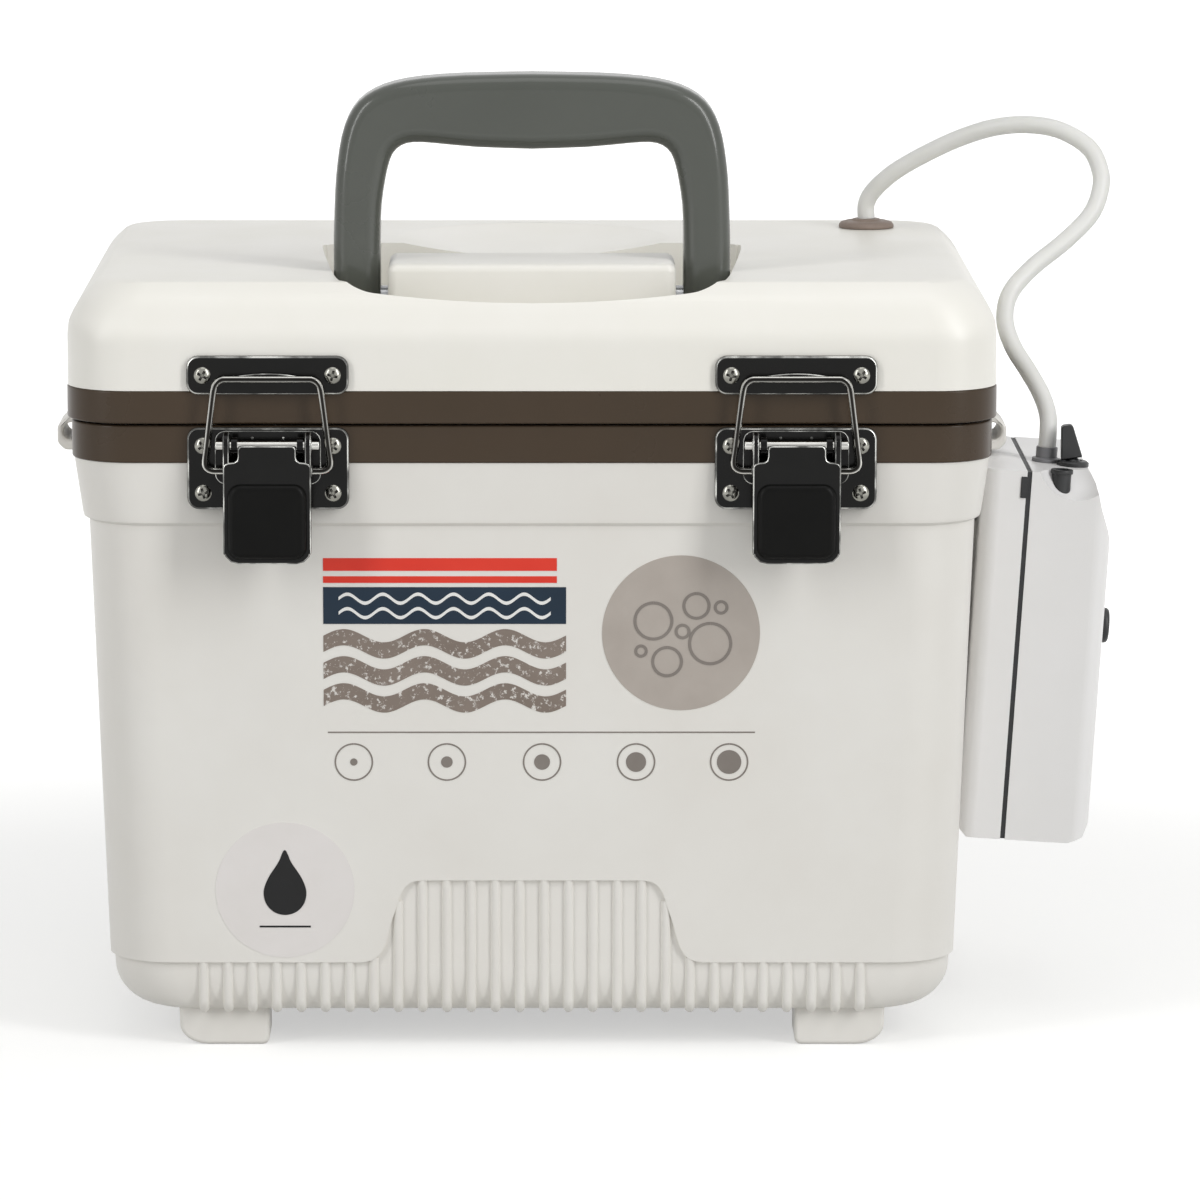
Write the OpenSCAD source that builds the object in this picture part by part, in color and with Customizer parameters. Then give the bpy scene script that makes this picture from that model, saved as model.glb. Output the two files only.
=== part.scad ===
// Insulated live-bait bucket with two draw latches, a folding handle and a
// battery air pump hung on its right side. Millimetres, +Z up, front towards -Y.
// The origin is on the surface it stands on, under the middle of the tub.

/* [Tub] */
// Width over the taupe band at the top of the tub
rim_w = 300; // [298:1:301]
// Depth over the same band
rim_d = 212; // [210:1:213]
// Width of the tub at the step above its ribs
foot_w = 279.6; // [278:0.2:281]
// Depth of the tub at the same step
foot_d = 195; // [193:0.5:196]
// Slope of the tub's walls, in degrees
draft = 2; // [1.9:0.05:2.1]
// Height of the seam between the tub and the lid
seam_z = 208.5; // [208:0.5:209]
// Height of the lower edge of the tub's band
band_z = 196.2; // [195:0.2:197]
// Height of the lower edge of the plain skirt under that band
skirt_z = 175.2; // [174:0.2:177]
// Thickness of the moulded walls
wall = 2.6; // [2.4:0.1:2.8]
// Height of the bottom of the inside
floor_z = 26; // [25:0.5:27]
// Width of the inside at its mouth
inner_w = 252; // [250:1:253]
// Depth of the inside at its mouth
inner_d = 164; // [162:1:165]

/* [Ribs and feet] */
// Height of the tub's underside
belly_z = 12.4; // [12:0.2:13]
// Height of the step above the ribs
panel_z = 29.3; // [29:0.1:30]
// Height of the top of the taller ribs in the middle
rib_zone_z = 57; // [55:1:60]
// Spacing of the ribs
rib_pitch = 8; // [7.8:0.1:8]
// Number of ribs across one face
rib_count = 28; // [24:2:28]
// Radius of one rib
rib_r = 1.65; // [1.5:0.05:1.8]
// How far the ribbed face lies behind the panel
rib_step = 1.4; // [1.2:0.1:1.5]

/* [Lid] */
// Width over the lid
lid_w = 302.8; // [302:0.2:303.2]
// Depth over the lid
lid_d = 214.8; // [214:0.2:215.2]
// Height of the lid's flat top
top_z = 254.5; // [254:0.5:255]
// Height of the upper edge of the lid's band
lid_band_z = 219.9; // [219:0.1:220.4]
// Height of the bottom of the well that the handle folds into
well_z = 234; // [233.5:0.5:234.2]
// Width of the raised block between the handle's feet
block_w = 94; // [93:0.5:94]
// Height of the top of that block
block_z = 258; // [257:0.5:259]

/* [Handle] */
// Distance of the handle's pivot in front of the middle
pivot_y = 62; // [61.5:0.5:62.5]
// Height of the pivot
pivot_z = 245; // [244.8:0.1:245.2]
// Thickness of the handle, front to back
handle_t = 20; // [18:1:20]
// Radius of the pivot pins
pin_r = 4; // [3.5:0.5:4]
// Height of the top of the handle
handle_top_z = 319; // [317:1:320]

/* [Latches] */
// Distance of each latch from the middle
latch_x = 85.3; // [84:0.5:87]
// Width of the latch plates
plate_w = 52.4; // [52:0.2:53]
// Radius of the bail wire
wire_r = 1.1; // [1:0.05:1.15]
// Height of the lever's pivot
lever_z = 203; // [202.8:0.1:203.2]

/* [Air pump] */
// Thickness of the pump, from the tub outwards
pump_t = 44; // [43.5:0.5:45]
// Depth of the pump, front to back
pump_d = 85; // [84:0.5:86]
// Height of the pump
pump_h = 125; // [124:0.5:126]
// Lean of the pump away from upright, in degrees
pump_lean = 3.6; // [3.4:0.1:3.8]
// Thickness of the pump's walls
pump_wall = 2.2; // [2:0.1:2.4]
// Outer diameter of the air hose
hose_d = 6; // [5.8:0.1:6]
// Diameter of a D cell
cell_d = 34.2; // [33.8:0.1:34.2]
// Length of a D cell
cell_l = 61.5; // [61:0.1:61.5]

/* [Hidden] */
$fn = 48;
eps = 0.02;
sharp = 6; // facets in each rounded corner of an outline
slip = 0.3; // gap round pieces that are laid in, not fixed
pin_gap = 0.05; // radial clearance of a pin that turns
snug_gap = 0.02; // radial clearance of a pin that is held
rim_y = rim_d / 2;
lid_y = lid_d / 2;
lid_z = seam_z + 0.7;
hinge_y = 113.2;
hinge_z = 206;
hinge_r = 5;
rod_r = 2.5;
hinge_parts = [[-100, -62], [-61.6, -20.4], [-20, 20], [20.4, 61.6], [62, 100]];
keeper_z = 225.2; // middle of the keeper plate
base_z = 194.7; // middle of the latch's lower plate
base_face = rim_y + 1.7; // front of the lower plate
keeper_face = lid_y + 1.7; // front of the keeper plate
lever_y = 113.2; // the lever's pivot, in front of the middle
lever_pin_r = 1.5;
bail_z = 194.5; // pivot of the bail
bail_y = 111.6;
bar_z = 224.3; // top bar of the bail
bar_y = 112.2;
pump_at = [142.7, -2.5, 61];
seam_u = 15.2; // middle of the seam between the pump's halves
barb_at = [22.5, -15.5];
cap_at = [26.4, -35.5];
toggle_at = [31, -21.5];
axle_r = 1; // axle of the switch's paddle
rotor_at = [22, 92]; // the motor's shaft, along the pump's depth
cell_v = 17.6;
cell_w = 8; // bottom of the cells
tray_w = 72.3; // top of the battery tray
grommet_at = [116, 66];
// The air hose from the pump to the lid, then the one inside the tub.
hose_route = [
  [173.3, -18, 189.35], [173.6, -18, 194.1], [173.6, -15.5, 200], [171.5, -11, 206.5],
  [167.5, -6.5, 213.5], [162.5, -2.5, 221.5], [160, 1.5, 230], [162, 5.5, 238.5],
  [169.5, 10.5, 246.5], [181, 16, 255], [190, 20.5, 263.5], [194.2, 24.5, 271.5],
  [194.3, 27.5, 278], [190, 31, 285.5], [180.5, 35.5, 291], [169.5, 40, 292.5],
  [158, 44.5, 291], [146, 50, 286.5], [134, 56, 280], [125, 60.5, 274],
  [118.5, 64.5, 267.5], [116, 66, 262.6], [116, 66, 257.6]];
drop_route = [
  [116, 66, 249.5], [116, 66, 240], [116, 66, 222], [116, 66, 206],
  [115, 64.5, 195], [112.5, 62, 182], [109, 58.5, 166], [105.5, 55, 148],
  [102, 51.5, 130], [99, 49, 111], [97, 47.5, 93], [96, 46.5, 76],
  [95.5, 46, 64], [95.5, 46, 55]];

// ---- outlines and general shapes

// A rectangle with rounded corners, as points.
function soft_rect(w, d, r, n = sharp) = [
  for (q = [0:3]) for (i = [0:n])
    let (a = 90 * q + 90 * i / n, sx = q == 0 || q == 3 ? 1 : -1, sy = q < 2 ? 1 : -1)
      [sx * (w / 2 - r) + r * cos(a), sy * (d / 2 - r) + r * sin(a)]];

// A thin slice of a rounded box, for hulls that are lofted from such slices.
module slice(w, d, r, z) {
  translate([0, 0, z]) linear_extrude(eps) polygon(soft_rect(w, d, r));
}

module block_of(w, d, r, z0, z1) {
  translate([0, 0, z0]) linear_extrude(z1 - z0) polygon(soft_rect(w, d, r));
}

module ring_of(w, d, r, side, z0, z1) {
  difference() {
    block_of(w, d, r, z0, z1);
    block_of(w - 2 * side, d - 2 * side, r - side, z0 - 1, z1 + 1);
  }
}

module both_sides() {
  children();
  mirror([1, 0, 0]) children();
}

// Stands a flat outline up, facing the front, with its back at depth y.
module facing_front(y, t) {
  translate([0, -y, 0]) rotate([90, 0, 0]) linear_extrude(t) children();
}

// Runs an outline drawn as (depth, height) along X.
module along_x(x0, x1) {
  translate([x0, 0, 0]) rotate([90, 0, 90]) linear_extrude(x1 - x0) children();
}

module rod_x(r, x0, x1, y, z) {
  translate([x0, y, z]) rotate([0, 90, 0]) cylinder(r = r, h = x1 - x0);
}

// A pan-head screw with a cross slot, head towards +Z, its seat at z = 0.
module screw(head_r, head_h, shank_r, length) {
  difference() {
    union() {
      cylinder(r = head_r, h = head_h * 0.6);
      translate([0, 0, head_h * 0.6]) cylinder(r1 = head_r, r2 = head_r * 0.7, h = head_h * 0.4);
      translate([0, 0, -length]) cylinder(r = shank_r, h = length + 0.5);
    }
    for (a = [0, 90]) rotate(a) translate([-head_r * 0.6, -0.35, head_h * 0.45]) cube([head_r * 1.2, 0.7, head_h]);
  }
}

// ---- swept tubes

function unit(v) = v / norm(v);

// The direction of a route at its point i.
function heading(p, i) =
  i == 0 ? unit(p[1] - p[0]) :
  i == len(p) - 1 ? unit(p[i] - p[i - 1]) : unit(unit(p[i + 1] - p[i]) + unit(p[i] - p[i - 1]));

// A side direction at each point, carried along so that the tube never twists.
function side_of(p, i) =
  let (t = heading(p, i), s = i > 0 ? side_of(p, i - 1) : abs(t[0]) > 0.9 ? [0, 1, 0] : [1, 0, 0])
    unit(s - t * (s * t));

module tube_along(p, r, n) {
  rings = [for (i = [0:len(p) - 1])
    let (t = heading(p, i), s = side_of(p, i), u = cross(t, s))
      [for (k = [0:n - 1]) p[i] + r * (cos(360 * k / n) * s + sin(360 * k / n) * u)]];
  points = [for (g = rings) each g];
  m = len(p);
  sides = [for (i = [0:m - 2]) for (k = [0:n - 1])
    let (a = i * n + k, b = i * n + (k + 1) % n) each [[a, a + n, b + n], [a, b + n, b]]];
  caps = [[for (k = [0:n - 1]) k], [for (k = [n - 1:-1:0]) (m - 1) * n + k]];
  polyhedron(points, concat(sides, caps));
}

// ---- tub

function half_x(z) = foot_w / 2 + (z - panel_z) * tan(draft);
function half_y(z) = foot_d / 2 + (z - panel_z) * tan(draft);

module wall_slice(z, in_x, in_y, r = 22) {
  slice(2 * (half_x(z) - in_x), 2 * (half_y(z) - in_y), r - in_x / 2, z);
}

// The tub's lower end, set in by inset. Its bottom edge is rounded, more so at the sides.
module rounded_bottom(inset, top, round_x = 13, round_y = 5) {
  hull() {
    wall_slice(top, inset, inset);
    for (a = [0:18:90]) {
      z = belly_z + inset + (round_x - inset / 2) * (1 - sin(a));
      wall_slice(z, inset + (round_x - inset / 2) * (1 - cos(a)), inset + round_y * (1 - cos(a)));
    }
  }
}

// The right shoulder of the ribbed zone, from its foot up to its flat top, as (X, share of the height).
shoulder = [[56.2, 0], [53.2, 0.02], [51.2, 0.055], [49.6, 0.12], [48.5, 0.2], [47.6, 0.3], [46.4, 0.46],
  [44.8, 0.64], [43.2, 0.82], [42.4, 0.88], [41.2, 0.935], [39.2, 0.98], [36.4, 1]];
function shoulder_z(i) = panel_z + (rib_zone_z - panel_z) * shoulder[i][1];

// The outline of the ribbed zone as seen from the front.
function rib_zone() =
  let (m = len(shoulder) - 1)
  concat([[-shoulder[0][0], panel_z - 1], [shoulder[0][0], panel_z - 1]],
    [for (i = [0:m]) [shoulder[i][0], shoulder_z(i)]], [for (i = [m:-1:0]) [-shoulder[i][0], shoulder_z(i)]]);

// How high the ribbed zone reaches at a distance from the middle.
function zone_top(x) = lookup(-abs(x), [for (i = [0:len(shoulder) - 1]) [-shoulder[i][0], shoulder_z(i)]]);

module one_rib(x) {
  z0 = belly_z + 2.4;
  z1 = zone_top(x) - rib_r - 0.1;
  depth = rib_step + 0.35;
  translate([x, -half_y(z0) + depth, z0]) rotate([draft, 0, 0]) {
    cylinder(r = rib_r, h = (z1 - z0) / cos(draft), $fn = 16);
    sphere(r = rib_r, $fn = 16);
    translate([0, 0, (z1 - z0) / cos(draft)]) sphere(r = rib_r, $fn = 16);
  }
}

module ribbed_face() {
  for (i = [0:rib_count - 1]) one_rib((i - (rib_count - 1) / 2) * rib_pitch);
}

// Its outer lower corner has a wide round, drawn as a quarter of an ellipse.
module foot() {
  corner = [for (i = [0:7]) let (a = 180 + 90 * i / 7) [-106.8 + 9.5 * cos(a), 6.8 + 6.8 * sin(a)]];
  intersection() {
    translate([-101.5, -82, 0]) block_of(29.6, 27, 6, 0, belly_z + 3);
    facing_front(60, 40) polygon(concat([[-86.7, belly_z + 3], [-116.3, belly_z + 3]],
      corner, arc([-88.9, 2.2], 2.2, 270, 360, 4)));
  }
}

module strap_lug() {
  translate([0, -13, 0]) rotate([90, 0, 180]) linear_extrude(26)
    polygon([[-145, 187.5], [-157.5, 187.5], [-160, 190], [-160, 195.5], [-154.5, 201], [-145, 201]]);
}

// The space inside the tub's outer wall; gap draws it smaller, for the foam in it.
module tub_space(gap) {
  hull() {
    rounded_bottom(wall + rib_step + gap, panel_z + 1);
    wall_slice(seam_z - 2.5 + gap, wall + 2.5 + gap, wall + 2.5 + gap, 20);
  }
}

module outer_tub() color("whitesmoke") {
  difference() {
    union() {
      hull() {
        wall_slice(panel_z, 0, 0);
        wall_slice(skirt_z + 1, 0, 0);
      }
      rounded_bottom(rib_step, panel_z + 0.5);
      hull() {
        slice(2 * half_x(skirt_z), 2 * half_y(skirt_z), 21, skirt_z);
        slice(rim_w - 6.8, rim_d - 4, 21, skirt_z + 1.6);
        slice(rim_w - 1.2, rim_d - 1.2, 20, band_z - eps);
      }
      block_of(rim_w - 6.6, rim_d - 6.6, 17, band_z - 3, seam_z - 2.6);
      for (s = [0, 1]) mirror([0, s, 0]) both_sides() foot();
      for (s = [0, 1]) mirror([s, 0, 0]) strap_lug();
    }
    for (s = [0, 1]) mirror([0, s, 0]) translate([0, rib_step - half_y(panel_z), panel_z]) rotate([draft, 0, 0])
      translate([0, 0, -panel_z]) facing_front(0, 10) polygon(rib_zone());
    tub_space(0);
    for (s = [-1, 1]) translate([s * 155.2, -20, 193.8]) rotate([-90, 0, 0]) cylinder(r = 3, h = 40);
  }
  for (s = [0, 1]) mirror([0, s, 0]) ribbed_face();
}

module liner_space(grow) {
  hull() {
    slice(inner_w + 2 * grow, inner_d + 2 * grow, 24, seam_z);
    slice(inner_w - 12 + 2 * grow, inner_d - 12 + 2 * grow, 20, floor_z + 6 - grow);
    slice(inner_w - 14 + 2 * grow, inner_d - 14 + 2 * grow, 19, floor_z + 2 - grow);
    slice(inner_w - 18 + 2 * grow, inner_d - 18 + 2 * grow, 18, floor_z - grow);
  }
}

module foam_core() color("khaki") {
  difference() {
    intersection() {
      translate([0, 0, -slip]) tub_space(slip);
      block_of(rim_w, rim_d, 5, 0, seam_z - 2.5 - slip);
    }
    liner_space(2 + slip);
  }
}

module inner_liner() color("white") {
  difference() {
    union() {
      intersection() { liner_space(2); block_of(400, 400, 5, 0, seam_z); }
      block_of(inner_w + 20, inner_d + 20, 30, seam_z - 2.5, seam_z);
    }
    translate([0, 0, eps]) liner_space(0);
  }
}

module body_rim_band() color("#5E5247") {
  difference() {
    block_of(rim_w, rim_d, 20, band_z, seam_z);
    block_of(rim_w - 6, rim_d - 6, 17.2, band_z - 1, seam_z - 2.5);
    block_of(inner_w + 20.4, inner_d + 20.4, 30.2, band_z, seam_z + 1);
    for (s = [0, 1]) mirror([s, 0, 0]) strap_lug();
  }
}

// ---- hinge

module knuckle(i) {
  rod_x(hinge_r, hinge_parts[i][0], hinge_parts[i][1], hinge_y, hinge_z);
}

module hinge_body_knuckles() color("whitesmoke") {
  difference() {
    for (i = [0, 2, 4]) {
      knuckle(i);
      along_x(hinge_parts[i][0], hinge_parts[i][1])
        polygon([[rim_y, 197], [rim_y, 207], [hinge_y - 3, 208], [hinge_y + 3, 203],
          [hinge_y - 4, 198.5], [rim_y + 2.5, 197]]);
    }
    rod_x(rod_r + snug_gap, -110, 110, hinge_y, hinge_z);
  }
}

module hinge_lid_knuckles() color("whitesmoke") {
  difference() {
    for (i = [1, 3]) {
      knuckle(i);
      along_x(hinge_parts[i][0], hinge_parts[i][1])
        polygon([[lid_y, 211], [lid_y, 233], [lid_y + 2.5, 233], [lid_y + 2.5, 219],
          [hinge_y + 3, 209.5], [hinge_y - 3.5, 203.2], [lid_y + 1, 209.6]]);
    }
    rod_x(rod_r + pin_gap, -110, 110, hinge_y, hinge_z);
  }
}

module hinge_rod() color("silver") rod_x(rod_r, -101, 101, hinge_y, hinge_z);

// ---- lid

// The lid's outer form: upright sides, then a wide round into the flat top.
module lid_form(inset) {
  side = [[12, 0, 0], [17, 0, 0.2], [22, 1, 2], [28.5, 4.8, 5.4], [33.8, 9.6, 11.8], [34.6, 16, 18]];
  hull() {
    slice(lid_w - 2 * inset - 0.4, lid_d - 2 * inset - 0.4, 21 - inset, lid_band_z - (inset > 0 ? 1 : 0));
    for (s = side)
      slice(lid_w - 2 * (inset + s[1]), lid_d - 2 * (inset + s[2]), 21 - inset - s[1] / 4,
        min(lid_band_z + s[0] - (s[0] > 13 ? inset : 0), top_z - inset) - eps);
  }
}

// The well's outline in plan, grown outwards all round; its front edge is bowed.
function well_outline(grow) =
  let (half = [[0, -102], [24, -101.5], [48, -99.5], [56, -97.5], [61, -93.5], [63.6, -87],
      [67, -50], [70.7, 4], [68.5, 11.5], [62, 16.5]],
    place = function(p) [p[0] * (1 + grow / 68), (p[1] + 43) * (1 + grow / 59.5) - 43])
  concat([for (p = half) place(p)], [for (i = [len(half) - 1:-1:1]) let (q = place(half[i])) [-q[0], q[1]]]);

// The block between the handle's feet, with softened upper edges.
module raised_block(shrink) {
  w = block_w - 2 * shrink;
  d = 36 - 2 * shrink;
  translate([0, -pivot_y, 0]) hull() {
    slice(w, d, 3, well_z - 5);
    slice(w, d, 3, block_z - shrink - 1.8);
    slice(w - 0.8, d - 0.8, 2.8, block_z - shrink - 0.6);
    slice(w - 2.6, d - 2.6, 2.2, block_z - shrink - eps);
  }
}

// The block, and the lower part behind it that narrows to clear the folded handle.
module island(shrink) {
  side = [[block_w / 2 - shrink, -pivot_y], [block_w / 2 - shrink, 2 - pivot_y], [42.5 - shrink, -16 - shrink]];
  raised_block(shrink);
  translate([0, 0, well_z - 5]) linear_extrude(top_z - well_z + 5 - shrink)
    polygon(concat(side, [for (i = [2:-1:0]) [-side[i][0], side[i][1]]]));
}

module handle_well(grow) {
  difference() {
    translate([0, 0, well_z - grow]) linear_extrude(40) polygon(well_outline(grow));
    island(grow);
  }
}

// A shallow dish behind the handle, for the fingers.
module finger_scoop(grow) {
  dish_r = 211;
  translate([0, 35, top_z + dish_r - 5.5]) sphere(r = dish_r + grow, $fn = 128);
}

module pin_bosses(grow) {
  both_sides() {
    rod_x(7.5 + grow, 64, 76 + grow, -pivot_y, pivot_z);
    rod_x(7.5 + grow, 40 - grow, block_w / 2, -pivot_y, pivot_z);
  }
}

// The space inside the lid's shell; gap draws it smaller, for the foam in it.
module lid_hollow(gap) {
  difference() {
    lid_form(wall + gap);
    ring_of(lid_w + 1, lid_d + 1, 22, 6.7 + gap, lid_band_z - 3, lid_band_z + 1.6 + gap);
    handle_well(wall + gap);
    finger_scoop(wall + gap);
    pin_bosses(gap);
    translate([grommet_at[0], grommet_at[1], 200]) cylinder(r = 4.5 + gap, h = 60);
  }
}

module neck(side) {
  ring_of(lid_w - 7.2, lid_d - 7.2, 17.4, side, lid_z + 4, lid_band_z + 1);
}

module lid_shell() color("whitesmoke") {
  difference() {
    union() {
      difference() {
        union() {
          lid_form(0);
          raised_block(0);
        }
        lid_hollow(0);
      }
      neck(wall);
    }
    handle_well(0);
    difference() {
      finger_scoop(0);
      translate([-100, -100, 200]) cube([200, 56, 80]);
    }
    both_sides() rod_x(pin_r + snug_gap, 42, 74, -pivot_y, pivot_z);
    translate([grommet_at[0], grommet_at[1], 200]) cylinder(r = 4.1, h = 49);
    translate([grommet_at[0], grommet_at[1], 200]) cylinder(r = 6.2, h = 60);
  }
}

module lid_foam() color("khaki") {
  difference() {
    union() {
      lid_hollow(slip);
      block_of(inner_w - 12, inner_d - 12, 20, lid_z - 3.5, lid_band_z + 1);
      block_of(lid_w - 13.2, lid_d - 13.2, 14, lid_z + 4, lid_band_z + 1);
    }
    handle_well(wall + slip);
    translate([grommet_at[0], grommet_at[1], 190]) cylinder(r = 4.8, h = 70);
    translate([grommet_at[0], grommet_at[1], top_z - 5 - slip]) cylinder(r = 8 + slip, h = 10);
  }
}

module lid_liner() color("white") {
  difference() {
    union() {
      block_of(lid_w - 7.2, lid_d - 7.2, 17.4, lid_z + 0.2, lid_z + 4);
      block_of(inner_w - 6, inner_d - 6, 22, lid_z - 6, lid_z + 1);
    }
    block_of(inner_w - 11, inner_d - 11, 20, lid_z - 3.5, lid_z + 5);
    ring_of(287, 199, 14, 5, lid_z - 1, lid_z + 2.2);
    translate([grommet_at[0], grommet_at[1], 190]) cylinder(r = 3.6, h = 30);
  }
}

module lid_rim_band() color("#5E5247") ring_of(lid_w, lid_d, 21, 3, lid_z, lid_band_z);

module lid_gasket() color("dimgray") ring_of(286.6, 198.6, 13.8, 4.6, seam_z + 0.1, lid_z + 2.2);

module hose_grommet() color("#7A6F66") {
  translate([grommet_at[0], grommet_at[1], top_z]) rotate_extrude()
    polygon([[1.6, -5], [5, -5], [8, -4.4], [8, -wall], [6, -wall], [6, 0], [9.5, 0], [9.5, 1],
      [8.8, 1.9], [7.2, 2.4], [5.2, 2.4], [4.6, 3.1], [1.6, 3.1]]);
}

// ---- handle

function arc(c, r, a0, a1, n = 6) = [for (i = [0:n]) let (a = a0 + (a1 - a0) * i / n) [c[0] + r * cos(a), c[1] + r * sin(a)]];

module handle_front(inset) {
  low = pivot_z - 12;
  outer = concat([[64.9 - inset, low]], arc([37.4, handle_top_z - 24], 24 - inset, 2, 90),
    arc([-37.4, handle_top_z - 24], 24 - inset, 90, 178), [[-64.9 + inset, low]]);
  inner = concat([[-49.6 - inset, low]], arc([-35.6, handle_top_z - 34], 10 + inset, 178, 96, 4),
    [[0, handle_top_z - 25 + inset]], arc([35.6, handle_top_z - 34], 10 + inset, 84, 2, 4), [[49.6 + inset, low]]);
  polygon(concat(outer, inner));
}

module handle() color("#5B5E59") {
  difference() {
    intersection() {
      union() {
        facing_front(pivot_y - handle_t / 2 + 2, handle_t - 4) handle_front(0);
        facing_front(pivot_y - handle_t / 2 + 0.8, handle_t - 1.6) handle_front(0.8);
        facing_front(pivot_y - handle_t / 2, handle_t) handle_front(2);
      }
      along_x(-80, 80) union() {
        translate([-pivot_y, pivot_z]) circle(r = 9.6);
        translate([-pivot_y - 10, pivot_z]) square([20, 90]);
      }
    }
    both_sides() rod_x(pin_r + pin_gap, 40, 80, -pivot_y, pivot_z);
  }
}

module handle_pivot_pins() color("silver") both_sides() rod_x(pin_r, 42.5, 73.5, -pivot_y, pivot_z);

// ---- latches, drawn round their own middle

module at_latch(side) translate([side * latch_x, 0, 0]) children();

module plate_front(w, h, r) polygon(soft_rect(w, h, r));

module latch_keeper() color("#2B2B2B") {
  difference() {
    union() {
      facing_front(lid_y, keeper_face - lid_y) translate([0, keeper_z]) plate_front(plate_w, 12.6, 3.5);
      facing_front(keeper_face - 0.5, 2.1)
        polygon(concat([[-17, 219.2], [17, 219.2]], arc([0, 171.5], 54.6, 71.7, 108.3, 12)));
    }
    for (s = [-1, 1]) translate([s * 21, 0, keeper_z]) rotate([90, 0, 0]) cylinder(r = 1.8, h = 200);
  }
}

module latch_base() color("#2B2B2B") {
  difference() {
    union() {
      facing_front(rim_y, base_face - rim_y) translate([0, base_z]) plate_front(plate_w, 26.7, 4);
      facing_front(base_face - 0.3, 1) translate([0, 198.4]) plate_front(34.4, 17.6, 3.5);
      both_sides() along_x(9.6, 11.6) {
        translate([-lever_y, lever_z]) circle(r = 2.7);
        polygon([[-lever_y - 2.2, lever_z - 1.4], [-lever_y + 2, lever_z - 3], [-base_face + 0.5, lever_z - 5.5],
          [-base_face + 0.5, lever_z + 2], [-lever_y + 2.4, lever_z + 0.5]]);
      }
    }
    both_sides() rod_x(lever_pin_r + snug_gap, 5, 20, -lever_y, lever_z);
    for (s = [-1, 1], h = [-8, 7.4]) translate([s * 21, 0, base_z + h]) rotate([90, 0, 0]) cylinder(r = 1.8, h = 200);
  }
}

module latch_lever() color("#1E1E1E") {
  difference() {
    union() {
      both_sides() along_x(12.2, 14.2) {
        translate([-lever_y, lever_z]) circle(r = 4.4);
        polygon([[-lever_y - 4.2, lever_z + 1], [-lever_y + 4.2, lever_z - 0.5], [-bail_y + 2.4, bail_z],
          [-bail_y + 1.4, bail_z - 2.4], [-lever_y - 1, 186], [-lever_y - 1.6, 168], [-lever_y - 4.8, 168]]);
      }
      facing_front(lever_y + 3, 1.8) translate([0, 185.5]) plate_front(28.4, 36, 3);
      facing_front(lever_y + 1.6, 4.2) translate([0, 178.6]) plate_front(28.8, 26.8, 4.5);
      facing_front(lever_y + 1.6, 4.8) translate([0, 178.2]) plate_front(27, 24.4, 4);
      facing_front(lever_y + 1.6, 5.2) translate([0, 177.8]) plate_front(25, 21.6, 3.4);
    }
    both_sides() rod_x(lever_pin_r + pin_gap, 5, 20, -lever_y, lever_z);
    both_sides() rod_x(wire_r + pin_gap, 5, 20, -bail_y, bail_z);
  }
}

module latch_bail() color("silver") {
  half = [[15.5, bail_y, bail_z], [18.2, bail_y, bail_z], [19.6, bail_y, bail_z + 0.6],
    [20.2, bail_y, bail_z + 2.2], [17.3, bar_y, bar_z - 3.6], [16.6, bar_y, bar_z - 1.5],
    [15.3, bar_y, bar_z - 0.3], [13.5, bar_y, bar_z]];
  n = len(half);
  tube_along(concat([for (p = half) [-p[0], -p[1], p[2]]],
    [for (i = [n - 1:-1:0]) [half[i][0], -half[i][1], half[i][2]]]), wire_r - 0.05, 10);
  both_sides() rod_x(wire_r, 12.5, 16.2, -bail_y, bail_z);
}

module latch_pivot_pins() color("silver") for (s = [-1, 1])
  at_latch(s) rod_x(lever_pin_r, -14.6, 14.6, -lever_y, lever_z);

module latch_base_screws() color("silver") for (s = [-1, 1], x = [-21, 21], h = [-8, 7.4])
  at_latch(s) translate([x, -base_face, base_z + h]) rotate([90, 0, 0]) screw(2.6, 1.5, 1.6, 1.7);

module latch_keeper_screws() color("silver") for (s = [-1, 1], x = [-21, 21])
  at_latch(s) translate([x, -keeper_face, keeper_z]) rotate([90, 0, 0]) screw(2.6, 1.5, 1.6, 1.7);

// ---- hose and stone

module air_hose() color("gainsboro") tube_along(hose_route, hose_d / 2, 10);

module air_hose_drop() color("gainsboro") tube_along(drop_route, hose_d / 2, 8);

module air_stone() color("steelblue") {
  translate([95.5, 46, 28]) {
    cylinder(r = 8, h = 19);
    translate([0, 0, 19]) cylinder(r1 = 8, r2 = 4, h = 3);
    translate([0, 0, 22]) cylinder(r = 3.4, h = 5);
  }
}

// ---- air pump, drawn upright: u away from the tub, v along its depth, w up

module pump_place() translate(pump_at) rotate([0, pump_lean, 0]) children();

function pump_side(i) = [[i, i + 3], [i + 3, i], [pump_t - i - 7, i], [pump_t - i - 2, i + 2],
  [pump_t - i, i + 7], [pump_t - i, 102], [pump_t - i - 1, 106], [pump_t - i - 4, 114],
  [38 - i, 121.5], [36 - i, pump_h - i], [i, pump_h - i]];

module pump_form(i) {
  intersection() {
    translate([pump_t / 2, 0, -1]) linear_extrude(pump_h + 2)
      polygon(soft_rect(pump_t - 2 * i, pump_d - 2 * i, 6 - i));
    translate([0, pump_d / 2, 0]) rotate([90, 0, 0]) linear_extrude(pump_d) polygon(pump_side(i));
  }
}

module pump_slab(u0, u1) translate([u0, -60, -10]) cube([u1 - u0, 120, 160]);

module cap_scoop(grow) translate([31, -44, 129]) sphere(r = 13 + grow);

module pump_back_cover() color("whitesmoke") pump_place() {
  difference() {
    intersection() { pump_form(0); pump_slab(-1, seam_u - 0.8); }
    pump_form(pump_wall);
    translate([seam_u - 2.7, -44, 115.9]) cube([4, 4, 7.2]);
  }
}

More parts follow.
